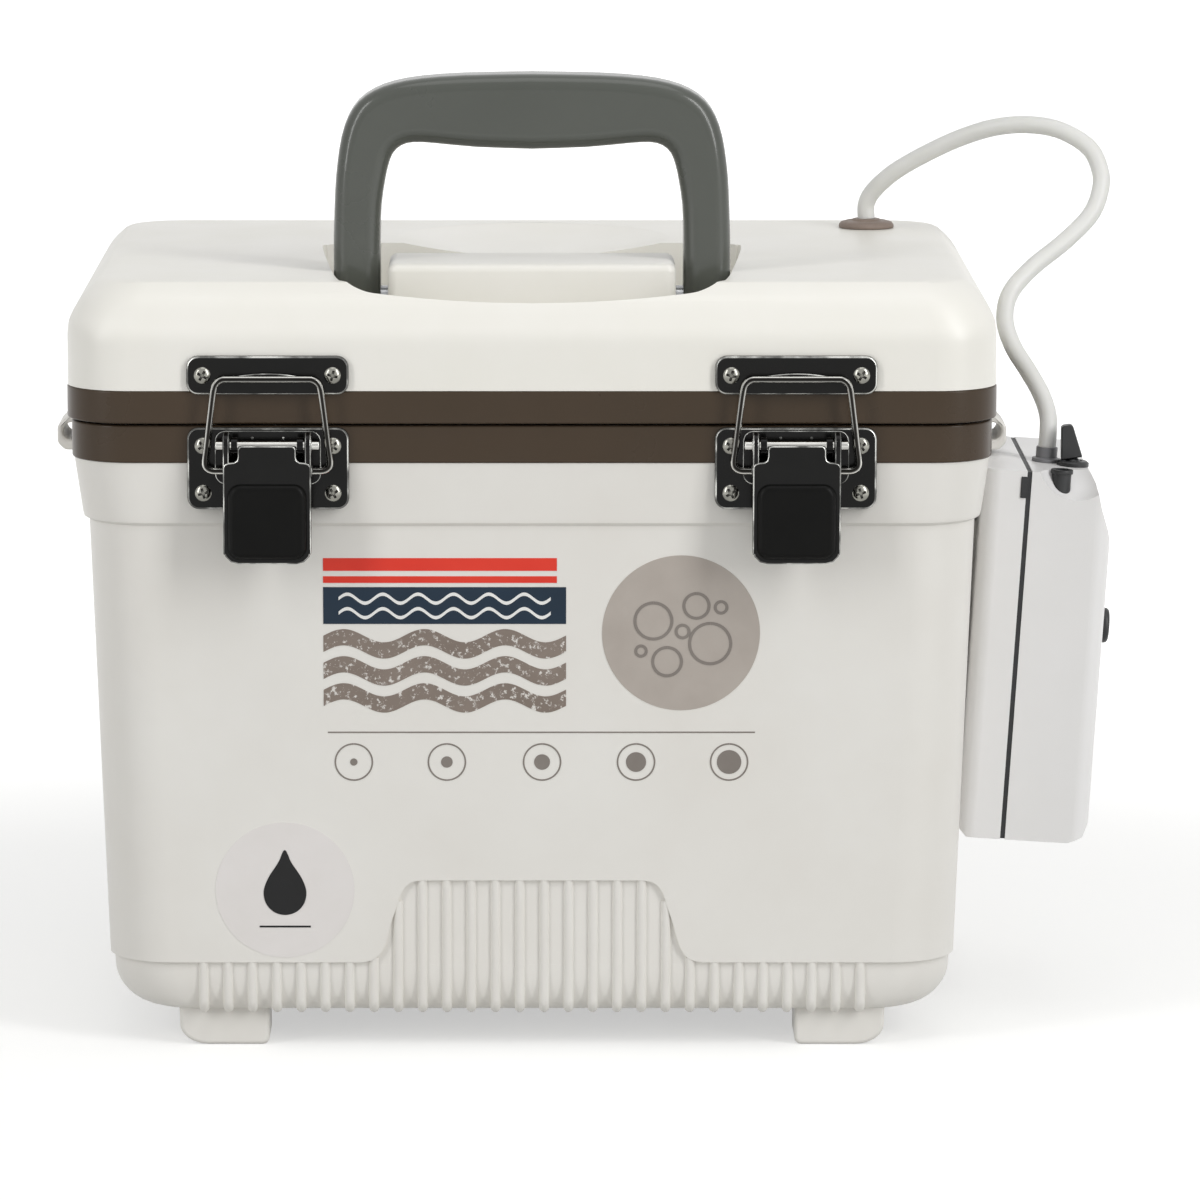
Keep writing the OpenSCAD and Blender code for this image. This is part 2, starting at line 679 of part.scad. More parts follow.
module pump_seal() color("#222222") pump_place() {
  difference() {
    intersection() { pump_form(0.3); pump_slab(seam_u - 0.8, seam_u + 0.8); }
    pump_form(pump_wall);
  }
  translate([seam_u - 2.6, -43, 116]) cube([2.2, 2.7, 7]);
}

module pump_front_housing() color("whitesmoke") pump_place() {
  difference() {
    intersection() { pump_form(0); pump_slab(seam_u + 0.8, 60); }
    difference() {
      pump_form(pump_wall);
      cap_scoop(pump_wall);
    }
    cap_scoop(0);
    translate([barb_at[0], barb_at[1], 100]) cylinder(r = 2.8, h = 40);
    translate([toggle_at[0], toggle_at[1], 118]) cylinder(r = 3.75, h = 10);
    translate([cap_at[0], cap_at[1], 110]) cylinder(r = 3.25, h = 20);
    translate([cap_at[0], cap_at[1], 123.8]) cylinder(r = 4, h = 6);
    translate([pump_t - 8, 0, 68]) rotate([0, 90, 0]) cylinder(r = 6.15, h = 20);
  }
}

module pump_hose_barb() color("#77777A") pump_place() translate([barb_at[0], barb_at[1], 0]) rotate_extrude()
  polygon([[1.6, 119], [2.7, 119], [2.7, pump_h], [4.8, pump_h], [4.8, pump_h + 1.2],
    [3.6, pump_h + 1.4], [3.6, pump_h + 5], [1.6, pump_h + 5]]);

module pump_intake_cap() color("#222222") pump_place() translate([cap_at[0], cap_at[1], 0]) difference() {
  union() {
    translate([0, 0, 116]) cylinder(r = 3.2, h = 8);
    translate([0, 0, 124]) cylinder(r = 3.7, h = 1.4);
  }
  translate([0, 0, 123]) cylinder(r = 2.4, h = 5);
}

// The switch's collar; the paddle's axle turns in the two bores across it.
module pump_toggle_base() color("#222222") pump_place() translate([toggle_at[0], toggle_at[1], 0]) difference() {
  rotate_extrude()
    polygon([[3.1, pump_h - 3.4], [3.7, pump_h - 3.4], [3.7, pump_h], [5.4, pump_h], [5.4, pump_h + 1.2],
      [4.6, pump_h + 1.8], [3.1, pump_h + 1.8]]);
  translate([0, 3.65, pump_h]) rotate([90, 0, 0]) cylinder(r = axle_r + pin_gap, h = 7.3);
}

// The switch's paddle; at rest it leans towards the tub.
module pump_toggle() color("#222222") pump_place() translate([toggle_at[0], toggle_at[1], pump_h])
  rotate([0, -12, 0]) {
    sphere(r = 3);
    translate([0, 3.6, 0]) rotate([90, 0, 0]) cylinder(r = axle_r, h = 7.2);
    cylinder(r = 1.6, h = 4);
    translate([0, 2.2, 0]) rotate([90, 0, 0]) linear_extrude(4.4)
      polygon([[-2.9, 3.4], [2.9, 3.4], [1.4, 13.4], [0.8, 14], [-0.8, 14], [-1.4, 13.4]]);
  }

module pump_button() color("#222222") pump_place() translate([0, 0, 68]) {
  translate([pump_t - 4, 0, 0]) rotate([0, 90, 0]) cylinder(r = 6, h = 6);
  translate([pump_t - pump_wall - 2, 0, 0]) rotate([0, 90, 0]) cylinder(r = 7.2, h = 1.5);
}

module battery_tray() color("dimgray") pump_place() difference() {
  translate([pump_wall + 0.2, -37.4, 5.3]) cube([34.6, 74.8, tray_w - 5.3]);
  for (s = [-1, 1]) translate([21, s * cell_v, 6.6]) cylinder(r = cell_d / 2 + 0.3, h = 64);
  translate([15, -50, 6.6]) cube([40, 100, 64]);
}

module cell(v) color("#3A3A3A") pump_place() translate([21, v, cell_w]) {
  cylinder(r = cell_d / 2, h = cell_l - 1.6);
  cylinder(r = 4.8, h = cell_l);
}

module battery_front() cell(-cell_v);
module battery_rear() cell(cell_v);

module battery_springs() color("silver") pump_place() for (s = [-1, 1])
  translate([21, s * cell_v, 6.6]) cylinder(r1 = 7, r2 = 5, h = cell_w - 6.6);

module battery_contacts() color("gold") pump_place() for (s = [-1, 1])
  translate([17, s * cell_v - 5, cell_w + cell_l]) cube([8, 10, 70.6 - cell_w - cell_l]);

module motor_axis(v) translate([rotor_at[0], v, rotor_at[1]]) rotate([-90, 0, 0]) children();

module pump_motor() color("silver") pump_place() difference() {
  union() {
    motor_axis(8) cylinder(r = 10.5, h = 26);
    motor_axis(6.4) cylinder(r = 3.4, h = 2);
    translate([pump_wall + 0.2, 12, tray_w]) cube([24, 18, 12]);
  }
  motor_axis(0) cylinder(r = 1 + pin_gap, h = 24);
}

module pump_rotor() color("gold") pump_place() {
  motor_axis(-7.5) cylinder(r = 1, h = 30);
  motor_axis(-6) translate([1.5, 0, 0]) cylinder(r = 5, h = 5);
}

module pump_diaphragm() color("black") pump_place() {
  difference() {
    union() {
      motor_axis(-5.8) cylinder(r = 9, h = 4.6);
      translate([rotor_at[0], -3.5, rotor_at[1] + 8]) cylinder(r = 2.2, h = 5);
    }
    motor_axis(-8) cylinder(r = 7, h = 8);
  }
  translate([rotor_at[0], -3.5, 105]) cylinder(r1 = 6, r2 = 9, h = 3);
}

module pump_head() color("dimgray") pump_place() {
  translate([10, -22, 108]) cube([24, 32, 11]);
  translate([10, -22, tray_w]) cube([24, 5, 108 - tray_w]);
}

// Where the bracket's screws stand, as (Y, Z).
bracket_screws = [for (y = [-18, 18], z = [92, 158]) [y, z]];

// Fills the wedge between the tub's wall and the back of the leaning pump.
module pump_bracket() color("whitesmoke") {
  pump_x = function(z) pump_at[0] + (z - pump_at[2]) * tan(pump_lean);
  difference() {
    translate([0, 24, 0]) rotate([90, 0, 0]) linear_extrude(48)
      polygon([[half_x(85) + eps, 85], [half_x(165) + eps, 165], [pump_x(165) - eps, 165], [pump_x(85) - eps, 85]]);
    translate([100, -12, 100]) cube([80, 24, 50]);
    for (q = bracket_screws) translate([half_x(q[1]) - 2, q[0], q[1]]) rotate([0, 90, 0]) {
      cylinder(r = 1.8, h = 20);
      translate([0, 0, 3]) cylinder(r = 3, h = 20);
    }
  }
}

module pump_bracket_screws() color("silver") for (q = bracket_screws)
  translate([half_x(q[1]) + 1, q[0], q[1]]) rotate([0, 90, 0]) screw(2.6, 1.5, 1.6, 0.8);

// ---- the parts

outer_tub();
foam_core();
inner_liner();
body_rim_band();
hinge_body_knuckles();
hinge_rod();
at_latch(-1) latch_base();  // latch_base_left
at_latch(1) latch_base();  // latch_base_right
latch_base_screws();
latch_pivot_pins();
at_latch(-1) latch_lever();  // latch_lever_left
at_latch(1) latch_lever();  // latch_lever_right
at_latch(-1) latch_bail();  // latch_bail_left
at_latch(1) latch_bail();  // latch_bail_right
lid_shell();
lid_foam();
lid_liner();
lid_rim_band();
lid_gasket();
hinge_lid_knuckles();
at_latch(-1) latch_keeper();  // latch_keeper_left
at_latch(1) latch_keeper();  // latch_keeper_right
latch_keeper_screws();
handle();
handle_pivot_pins();
hose_grommet();
air_hose();
air_hose_drop();
air_stone();
pump_bracket();
pump_bracket_screws();
pump_back_cover();
pump_seal();
pump_front_housing();
pump_hose_barb();
pump_intake_cap();
pump_toggle_base();
pump_toggle();
pump_button();
battery_tray();
battery_front();
battery_rear();
battery_springs();
battery_contacts();
pump_motor();
pump_rotor();
pump_diaphragm();
pump_head();
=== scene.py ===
import math
import bmesh
import bpy
from mathutils import Matrix, Vector


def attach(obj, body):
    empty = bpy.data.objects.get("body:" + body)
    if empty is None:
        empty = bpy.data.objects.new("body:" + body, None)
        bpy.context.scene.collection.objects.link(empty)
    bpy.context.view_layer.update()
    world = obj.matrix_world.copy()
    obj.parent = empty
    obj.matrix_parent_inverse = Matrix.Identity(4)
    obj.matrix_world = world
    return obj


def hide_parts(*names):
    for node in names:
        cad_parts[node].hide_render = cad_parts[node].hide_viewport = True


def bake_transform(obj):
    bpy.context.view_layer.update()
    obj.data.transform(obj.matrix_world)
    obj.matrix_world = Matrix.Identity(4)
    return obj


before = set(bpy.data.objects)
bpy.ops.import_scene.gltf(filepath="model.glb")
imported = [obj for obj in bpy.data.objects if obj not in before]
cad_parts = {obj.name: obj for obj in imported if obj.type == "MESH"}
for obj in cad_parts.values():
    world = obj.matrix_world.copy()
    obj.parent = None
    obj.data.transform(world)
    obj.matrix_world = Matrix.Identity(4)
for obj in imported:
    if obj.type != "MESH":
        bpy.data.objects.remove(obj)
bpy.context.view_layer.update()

scene = bpy.context.scene
mm = 0.001

# ---- camera, fitted to the photograph's perspective
photoView = {
    "distance": 2.3,
    "elevation": 9.5,  # degrees above the horizon
    "aimHeight": 0.125,
    "lens": 202.56,
    "shiftX": 0.0567,
    "shiftY": 0.022,
}


def makeCamera(view):
    data = bpy.data.cameras.new("photoCamera")
    data.sensor_width, data.lens = 36, view["lens"]
    data.shift_x, data.shift_y = view["shiftX"], view["shiftY"]
    data.clip_end = 30
    camera = bpy.data.objects.new("photoCamera", data)
    tilt = math.radians(view["elevation"])
    camera.location = (
        0,
        -view["distance"] * math.cos(tilt),
        view["aimHeight"] + view["distance"] * math.sin(tilt),
    )
    camera.rotation_euler = (math.pi / 2 - tilt, 0, 0)
    scene.collection.objects.link(camera)
    scene.camera = camera


makeCamera(photoView)
print("camera")


# ---- materials
def linear(hexCode, alpha=1.0):
    parts = [int(hexCode[i : i + 2], 16) / 255 for i in (1, 3, 5)]
    return (*[c / 12.92 if c <= 0.04045 else ((c + 0.055) / 1.055) ** 2.4 for c in parts], alpha)


# Adds a node; a setting is an input's name or number, or else an attribute of the node.
def addNode(tree, kind, settings=None, links=None):
    node = tree.nodes.new(kind)
    for key, value in (settings or {}).items():
        if isinstance(key, int) or key in node.inputs:
            node.inputs[key].default_value = value
        else:
            setattr(node, key, value)
    for key, source in (links or {}).items():
        tree.links.new(source, node.inputs[key])
    return node


def newMaterial(name, settings):
    material = bpy.data.materials.new(name)
    material.use_nodes = True
    tree = material.node_tree
    tree.nodes.clear()
    shader = addNode(tree, "ShaderNodeBsdfPrincipled", settings)
    addNode(tree, "ShaderNodeOutputMaterial", {}, {"Surface": shader.outputs[0]})
    place = addNode(tree, "ShaderNodeTexCoord").outputs["Object"]
    return material, tree, shader, place


# Noise with patches this many mm across.
def noise(tree, place, sizeMm, detail, roughness=0.5):
    settings = {"Scale": 1 / (sizeMm * mm), "Detail": detail, "Roughness": roughness}
    return addNode(tree, "ShaderNodeTexNoise", settings, {"Vector": place}).outputs["Fac"]


# Stretches the values from low to high over 0 to 1, or over the range in the settings.
def stretch(tree, value, low, high, settings=None):
    settings = {"From Min": low, "From Max": high, **(settings or {})}
    return addNode(tree, "ShaderNodeMapRange", settings, {"Value": value}).outputs["Result"]


# Two colours, each a hex code or a socket, mixed by the share of the second.
def blend(tree, share, first, second):
    settings, links = {"data_type": "RGBA"}, {0: share}
    for slot, colour in ((6, first), (7, second)):
        if isinstance(colour, str):
            settings[slot] = linear(colour)
        else:
            links[slot] = colour
    return addNode(tree, "ShaderNodeMix", settings, links).outputs[2]


def maths(tree, operation, first, second):
    return addNode(tree, "ShaderNodeMath", {"operation": operation}, {0: first, 1: second}).outputs[0]


# Bumps this many mm high, laid over others where there are any.
def bumps(tree, height, depthMm, under=None):
    links = {"Height": height, "Normal": under} if under else {"Height": height}
    settings = {"Strength": 1.0, "Distance": depthMm * mm}
    return addNode(tree, "ShaderNodeBump", settings, links).outputs["Normal"]


# Most finishes here: a slow drift between two tones, uneven gloss and a fine surface texture.
# driftMm and grainMm are the real sizes of the patches, and depthMm is the height of the grain.
def surface(name, look, settings=None):
    material, tree, shader, place = newMaterial(name, settings or {})
    drift = stretch(tree, noise(tree, place, look["driftMm"], 4.0, 0.6), 0.3, 0.7)
    colour = blend(tree, drift, look["deep"], look["colour"])
    # Painted shade: an ambient-occlusion mask colours recesses narrower than paintedShadeMm darker,
    # towards the paintedShade colour.
    if "paintedShadeMm" in look:  # recesses narrower than this look darker
        settings = {"samples": 8, "Distance": look["paintedShadeMm"] * mm}
        cavity = addNode(tree, "ShaderNodeAmbientOcclusion", settings).outputs["AO"]
        colour = blend(tree, stretch(tree, cavity, 0.5, 0.92), look["paintedShade"], colour)
    if "rim" in look:  # painted highlight: a bright metallic colour along the edges that the mesh marks, broken in patches
        marked = addNode(tree, "ShaderNodeAttribute", {"attribute_name": "rim"}).outputs["Fac"]
        shares = {"To Min": 0.22, "To Max": look["rimShare"]}
        highlightPatches = stretch(tree, noise(tree, place, 7, 2.0), 0.4, 0.62, shares)
        paintedHighlight = maths(tree, "MULTIPLY", highlightPatches, stretch(tree, marked, 0.55, 1.0))
        colour = blend(tree, paintedHighlight, colour, look["rim"])
        tree.links.new(paintedHighlight, shader.inputs["Metallic"])
    if "fleck" in look:  # the ink is broken in flecks about 2 mm across
        broken = stretch(tree, noise(tree, place, 2.2, 6.0, 0.75), 0.56, 0.6)
        colour = blend(tree, broken, colour, look["fleck"])
    tree.links.new(colour, shader.inputs["Base Color"])
    gloss = {"To Min": look["rough"] - look["uneven"], "To Max": look["rough"] + look["uneven"]}
    smear = noise(tree, place, look["driftMm"] * 0.35, 5.0)
    tree.links.new(stretch(tree, smear, 0.3, 0.7, gloss), shader.inputs["Roughness"])
    waves = None
    if "waveMm" in look:  # the shallow sink marks and waves of a moulding or a dipped coat
        waves = bumps(tree, noise(tree, place, look["waveMm"], 1.0), look["waveDepthMm"])
    grain = bumps(tree, noise(tree, place, look["grainMm"], 2.0), look["depthMm"], waves)
    tree.links.new(grain, shader.inputs["Normal"])
    return material


# Injection-moulded ABS and polypropylene: even and satin, with a grain finer than shows.
def moulded(name, colour, deep, rough=0.4, coat=0.0, sheen=0.5):
    look = {
        "colour": colour, "deep": deep, "rough": rough, "uneven": 0.04, "driftMm": 60,
        "grainMm": 0.5, "depthMm": 0.006, "waveMm": 25, "waveDepthMm": 0.03,
    }
    gloss = {"IOR": 1.5, "Specular IOR Level": sheen, "Coat Weight": coat, "Coat Roughness": 0.1}
    return surface(name, look, gloss)


lidPlastic = moulded("whiteLidPolypropylene", "#F3F1EB", "#EFEDE5", 0.36)
tubPlastic = moulded("greyWhiteTubPolypropylene", "#EAE8E3", "#E5E2DC", 0.4)
pumpPlastic = moulded("whitePumpABS", "#F1F0F0", "#EDECEB", 0.34)
bandPlastic = moulded("taupeBandABS", "#46392C", "#413528", 0.3, 0.0, 0.2)
handlePlastic = moulded("greyHandleNylon", "#4E514B", "#494C46", 0.3, 0.4, 0.3)
linerPlastic = moulded("linerPolystyrene", "#F2F2EF", "#EDEDEA", 0.2)
blackPlastic = moulded("blackPumpABS", "#1D1E20", "#18191A", 0.38)
barbPlastic = moulded("greyBarbABS", "#7C7C7F", "#747477", 0.42)

# Soft rubber: a dry sheen and a dusty, blotchy tone.
rubberLook = {"rough": 0.55, "uneven": 0.08, "driftMm": 14, "grainMm": 0.3, "depthMm": 0.02}
grommetRubber = surface("taupeGrommetRubber", {"colour": "#83746A", "deep": "#76685E", **rubberLook})
sealRubber = surface("blackSealRubber", {"colour": "#232325", "deep": "#1B1B1D", **rubberLook})

# Satin nylon on the levers: darker and duller than the enamel round it.
padNylon = surface(
    "blackPadNylon",
    {
        "colour": "#0B0B0A", "deep": "#070706", "rough": 0.4, "uneven": 0.05, "driftMm": 15,
        "grainMm": 0.4, "depthMm": 0.008,
    },
    {"Specular IOR Level": 0.1},
)

# Baked enamel on pressed steel: deep black with a slight orange peel, a painted highlight along its edges
# and painted shade in its recesses.
latchEnamel = surface(
    "blackLatchEnamel",
    {
        "colour": "#0E0E0D", "deep": "#0A0A09", "rough": 0.2, "uneven": 0.05, "driftMm": 20,
        "grainMm": 0.9, "depthMm": 0.004, "waveMm": 4, "waveDepthMm": 0.012,
        "rim": "#C4C4C0", "rimShare": 0.95, "paintedShadeMm": 1.2, "paintedShade": "#040404",
    },
    {"Specular IOR Level": 0.15},
)

# Plated and plain metals: near-mirror, with faint handling marks; painted shade darkens the screws'
# crosses.
plateLook = {"driftMm": 12, "grainMm": 0.4, "depthMm": 0.002}
nickelPlate = surface(
    "nickelPlatedSteel",
    {"colour": "#C9C8C4", "deep": "#B5B4B0", "rough": 0.16, "uneven": 0.05, **plateLook},
    {"Metallic": 1.0},
)
screwLook = {"paintedShadeMm": 1.1, "paintedShade": "#0B0B0A", **plateLook}
screwNickel = surface(
    "nickelScrewHeads",
    {"colour": "#98978F", "deep": "#7C7B76", "rough": 0.2, "uneven": 0.05, **screwLook},
    {"Metallic": 1.0},
)
plainSteel = surface(
    "drawnSteel",
    {"colour": "#B3B4B5", "deep": "#9FA0A2", "rough": 0.3, "uneven": 0.08, **plateLook},
    {"Metallic": 1.0},
)
contactBrass = surface(
    "pressedBrass",
    {"colour": "#C9A24B", "deep": "#B58E3C", "rough": 0.26, "uneven": 0.06, **plateLook},
    {"Metallic": 1.0},
)


# Metal on the wires with a painted reflection: its colour is dark in its middle, and bright where it turns
# away from the eye.
def chromeWithPaintedReflection(name, core, edge):
    material, tree, shader, place = newMaterial(name, {"Metallic": 1.0})
    reflectionShare = addNode(tree, "ShaderNodeLayerWeight", {"Blend": 0.5}).outputs["Facing"]
    paintedReflection = blend(tree, stretch(tree, reflectionShare, 0.06, 0.42), core, edge)
    tree.links.new(paintedReflection, shader.inputs["Base Color"])
    gloss = stretch(tree, noise(tree, place, 3, 4.0), 0, 1, {"To Min": 0.06, "To Max": 0.22})
    tree.links.new(gloss, shader.inputs["Roughness"])
    return material


wireChrome = chromeWithPaintedReflection("wireChromePaintedReflection", "#21201E", "#E4E3DE")

# Milky vinyl tube: light goes into it and comes out soft, under a dull satin skin.
hoseVinyl = surface(
    "milkyHoseVinyl",
    {
        "colour": "#F0F0ED", "deep": "#E8E8E4", "rough": 0.42, "uneven": 0.04, "driftMm": 30,
        "grainMm": 1.5, "depthMm": 0.004,
    },
    {
        "IOR": 1.5,
        "Transmission Weight": 0.12,
        "Subsurface Weight": 0.35,
        "Subsurface Radius": (0.002, 0.002, 0.0018),
        "Subsurface Scale": 1.0,
    },
)

# Sintered air stone, with dull grains about a millimetre across, and foam with cut cells as wide.
stoneGrit = surface(
    "sinteredStone",
    {
        "colour": "#8095A8", "deep": "#5F7488", "rough": 0.9, "uneven": 0.05, "driftMm": 1.5,
        "grainMm": 0.8, "depthMm": 0.35,
    },
)
cutFoam = surface(
    "closedCellFoam",
    {
        "colour": "#DBCFA8", "deep": "#C9BC92", "rough": 0.85, "uneven": 0.05, "driftMm": 1.2,
        "grainMm": 1.0, "depthMm": 0.2,
    },
)
cellWrap = moulded("cellShrinkWrap", "#3D3E40", "#333436", 0.22)
print("materials")


# ---- making meshes
def toBmesh(mesh):
    bm = bmesh.new()
    bm.from_mesh(mesh)
    return bm


# Rounds off a line through its points; works in two or three dimensions.
def smoothLine(points, steps=4, closed=False):
    spots = [Vector(p) for p in points]
    count = len(spots)
    line = []
    for i in range(count if closed else count - 1):
        if closed:
            a, b, c, d = (spots[(i + k) % count] for k in (-1, 0, 1, 2))
        else:
            a, b, c, d = (spots[min(max(i + k, 0), count - 1)] for k in (-1, 0, 1, 2))
        for step in range(steps):
            t = step / steps
            bend, twist = 2 * a - 5 * b + 4 * c - d, 3 * b - a - 3 * c + d
            line.append(0.5 * (2 * b + (c - a) * t + bend * t**2 + twist * t**3))
    if not closed:
        line.append(spots[-1])
    return line


def lineLength(line):
    return sum((b - a).length for a, b in zip(line, line[1:])) * mm


# A round tube along a line in mm.
def sweepTube(line, radius, sides):
    data = bpy.data.curves.new("route", "CURVE")
    data.dimensions = "3D"
    data.bevel_depth = radius * mm
    data.bevel_resolution = sides // 2 - 2
    data.use_fill_caps = True
    spline = data.splines.new("POLY")
    spline.points.add(len(line) - 1)
    for spot, point in zip(spline.points, line):
        spot.co = (*[c * mm for c in point], 1)
    holder = bpy.data.objects.new("route", data)
    scene.collection.objects.link(holder)
    mesh = bpy.data.meshes.new_from_object(holder)
    bm = toBmesh(mesh)
    bpy.data.objects.remove(holder)
    bpy.data.curves.remove(data)
    bpy.data.meshes.remove(mesh)
    return bm


def addTo(bm, *parts):
    for part in parts:
        mesh = bpy.data.meshes.new("part")
        part.to_mesh(mesh)
        part.free()
        bm.from_mesh(mesh)
        bpy.data.meshes.remove(mesh)
    return bm


def twin(bm, axis):
    bmesh.ops.mirror(bm, geom=bm.verts[:] + bm.edges[:] + bm.faces[:], merge_dist=-1, axis=axis)
    return bm


# A skin through rounded rectangles, each (width, depth, corner radius, height) in mm. It is
# capped at both ends, or else closed into a ring.
def loftRounded(stations, segments=8, ring=False):
    bm = bmesh.new()
    width, depth, radius, height = stations[0]
    corners = bmesh.ops.create_grid(bm, x_segments=1, y_segments=1, size=0.5)["verts"]
    bmesh.ops.scale(bm, vec=(width * mm, depth * mm, 1), verts=corners)
    bmesh.ops.translate(bm, vec=(0, 0, height * mm), verts=corners)
    bmesh.ops.bevel(
        bm,
        geom=corners,
        offset=radius * mm,
        offset_type="OFFSET",
        segments=segments,
        profile=0.5,
        affect="VERTICES",
        material=-1,
    )
    bmesh.ops.delete(bm, geom=bm.faces[:], context="FACES_ONLY")
    loop = bm.edges[:]
    for w, d, r, z in stations[1:]:
        grown = bmesh.ops.extrude_edge_only(bm, edges=loop)["geom"]
        loop = [g for g in grown if isinstance(g, bmesh.types.BMEdge)]
        for vert in [g for g in grown if isinstance(g, bmesh.types.BMVert)]:
            sx, sy = math.copysign(1, vert.co.x), math.copysign(1, vert.co.y)
            old = Vector((sx * (width / 2 - radius), sy * (depth / 2 - radius))) * mm
            new = Vector((sx * (w / 2 - r), sy * (d / 2 - r))) * mm
            vert.co.xy = new + (vert.co.xy - old) * r / radius
            vert.co.z = z * mm
        width, depth, radius, height = w, d, r, z
    ends = [e for e in bm.edges if e.is_boundary]
    if ring:
        bmesh.ops.bridge_loops(bm, edges=ends)
    else:
        bmesh.ops.holes_fill(bm, edges=ends)
    bmesh.ops.recalc_face_normals(bm, faces=bm.faces)
    return bm


# A flat outline of 3-D points in mm, drawn out along a vector in mm.
def prism(points, along):
    bm = bmesh.new()
    face = bm.faces.new([bm.verts.new(Vector(p) * mm) for p in points])
    grown = bmesh.ops.extrude_face_region(bm, geom=[face])["geom"]
    moved = [g for g in grown if isinstance(g, bmesh.types.BMVert)]
    bmesh.ops.translate(bm, vec=Vector(along) * mm, verts=moved)
    bmesh.ops.holes_fill(bm, edges=[e for e in bm.edges if e.is_boundary])
    bmesh.ops.recalc_face_normals(bm, faces=bm.faces)
    return bm


def box(low, high):
    (x0, y0, z0), (x1, y1, z1) = low, high
    return prism([(x0, y0, z0), (x1, y0, z0), (x1, y1, z0), (x0, y1, z0)], (0, 0, z1 - z0))


def rod(radius, start, along, segments=48):
    bm = bmesh.new()
    along = Vector(along)
    made = bmesh.ops.create_cone(
        bm,
        cap_ends=True,
        segments=segments,
        radius1=radius * mm,
        radius2=radius * mm,
        depth=along.length * mm,
    )["verts"]
    turn = along.to_track_quat("Z", "Y").to_matrix().to_4x4()
    middle = (Vector(start) + along / 2) * mm
    bmesh.ops.transform(bm, matrix=Matrix.Translation(middle) @ turn, verts=made)
    return bm


def ball(centre, radius):
    bm = bmesh.new()
    bmesh.ops.create_uvsphere(bm, u_segments=64, v_segments=48, radius=radius * mm)
    bmesh.ops.translate(bm, vec=Vector(centre) * mm, verts=bm.verts)
    return bm


# Joins or cuts two closed bmeshes with a Boolean modifier, and gives the result.
def combine(bm, other, operation="DIFFERENCE"):
    holders = []
    for part in (bm, other):
        mesh = bpy.data.meshes.new("part")
        bmesh.ops.recalc_face_normals(part, faces=part.faces)
        part.to_mesh(mesh)
        part.free()
        holder = bpy.data.objects.new("part", mesh)
        scene.collection.objects.link(holder)
        holders.append(holder)
    cut = holders[0].modifiers.new("cut", "BOOLEAN")
    cut.operation, cut.solver, cut.object = operation, "EXACT", holders[1]
    graph = bpy.context.evaluated_depsgraph_get()
    result = bpy.data.meshes.new_from_object(holders[0].evaluated_get(graph))
    made = toBmesh(result)
    for holder in holders:
        mesh = holder.data
        bpy.data.objects.remove(holder)
        bpy.data.meshes.remove(mesh)
    bpy.data.meshes.remove(result)
    bmesh.ops.remove_doubles(made, verts=made.verts, dist=1e-6)
    return made


def clean(bm, flat=0.5):
    bmesh.ops.remove_doubles(bm, verts=bm.verts, dist=2e-6)
    bmesh.ops.dissolve_limit(
        bm, angle_limit=math.radians(flat), verts=bm.verts, edges=bm.edges, use_dissolve_boundaries=False
    )
    return bm


# Rounds off the edges that turn by more than an angle. rim marks the middle of each round, where the
# enamel gets its painted highlight.
def soften(bm, width, segments=2, fromAngle=28, where=None, rim=False):
    def picked(edge):
        sharp = len(edge.link_faces) == 2 and edge.calc_face_angle(0) > math.radians(fromAngle)
        return sharp and (where is None or where(edge))

    made = bmesh.ops.bevel(
        bm,
        geom=[e for e in bm.edges if picked(e)],
        offset=width * mm,
        offset_type="OFFSET",
        segments=segments,
        profile=0.5,
        affect="EDGES",
        material=-1,
        clamp_overlap=True,
    )
    if rim:
        layer = bm.verts.layers.float.get("rim") or bm.verts.layers.float.new("rim")
        rounds = {face for face in made["faces"] if face.is_valid}
        for vert in bm.verts:
            if vert.link_faces and all(face in rounds for face in vert.link_faces):
                vert[layer] = 1
    return bm


# Turns a bmesh into a finished piece that rides on a body.
def finishPiece(name, bm, body, slotName, material, replaced=(), sharp=40, ride=True):
    bmesh.ops.recalc_face_normals(bm, faces=bm.faces)
    for face in bm.faces:
        face.smooth = True
    for edge in bm.edges:
        if len(edge.link_faces) == 2:
            edge.smooth = edge.calc_face_angle(0) < math.radians(sharp)
    mesh = bpy.data.meshes.new(name)
    bm.to_mesh(mesh)
    bm.free()
    mesh.materials.append(material)
    piece = bpy.data.objects.new(name, mesh)
    scene.collection.objects.link(piece)
    weighted = piece.modifiers.new("weightedNormals", "WEIGHTED_NORMAL")
    weighted.keep_sharp = True
    if ride:
        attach(piece, body)
    if replaced:
        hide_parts(*replaced)
    return piece


# A merged copy of a CAD node's mesh, with its edges softened.
def softCopy(node, name, body, slotName, material, width, segments=2, fromAngle=28):
    bm = clean(toBmesh(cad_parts[node].data))
    soften(bm, width, segments, fromAngle)
    return finishPiece(name, bm, body, slotName, material, [node])


# ---- air hoses; their routes follow the source's
hose = {
    "radius": 3.0,
    "sides": 20,
    "outer": [
        (173.3, -18, 189.35), (173.6, -18, 194.1), (173.6, -15.5, 200), (171.5, -11, 206.5),
        (167.5, -6.5, 213.5), (162.5, -2.5, 221.5), (160, 1.5, 230), (162, 5.5, 238.5),
        (169.5, 10.5, 246.5), (181, 16, 255), (190, 20.5, 263.5), (193.6, 24.5, 271.5),
        (193.7, 27.5, 278), (190, 31, 285.5), (180.5, 35.5, 291), (169.5, 40, 292.5),
        (158, 44.5, 291), (146, 50, 286.5), (134, 56, 280), (125, 60.5, 274),
        (118.5, 64.5, 267.5), (116, 66, 262.6), (116, 66, 257.6),
    ],
    "inner": [
        (116, 66, 249.5), (116, 66, 240), (116, 66, 222), (116, 66, 206),
        (115, 64.5, 195), (112.5, 62, 182), (109, 58.5, 166), (105.5, 55, 148),
        (102, 51.5, 130), (99, 49, 111), (97, 47.5, 93), (96, 46.5, 76),
        (95.5, 46, 64), (95.5, 46, 55),
    ],
}


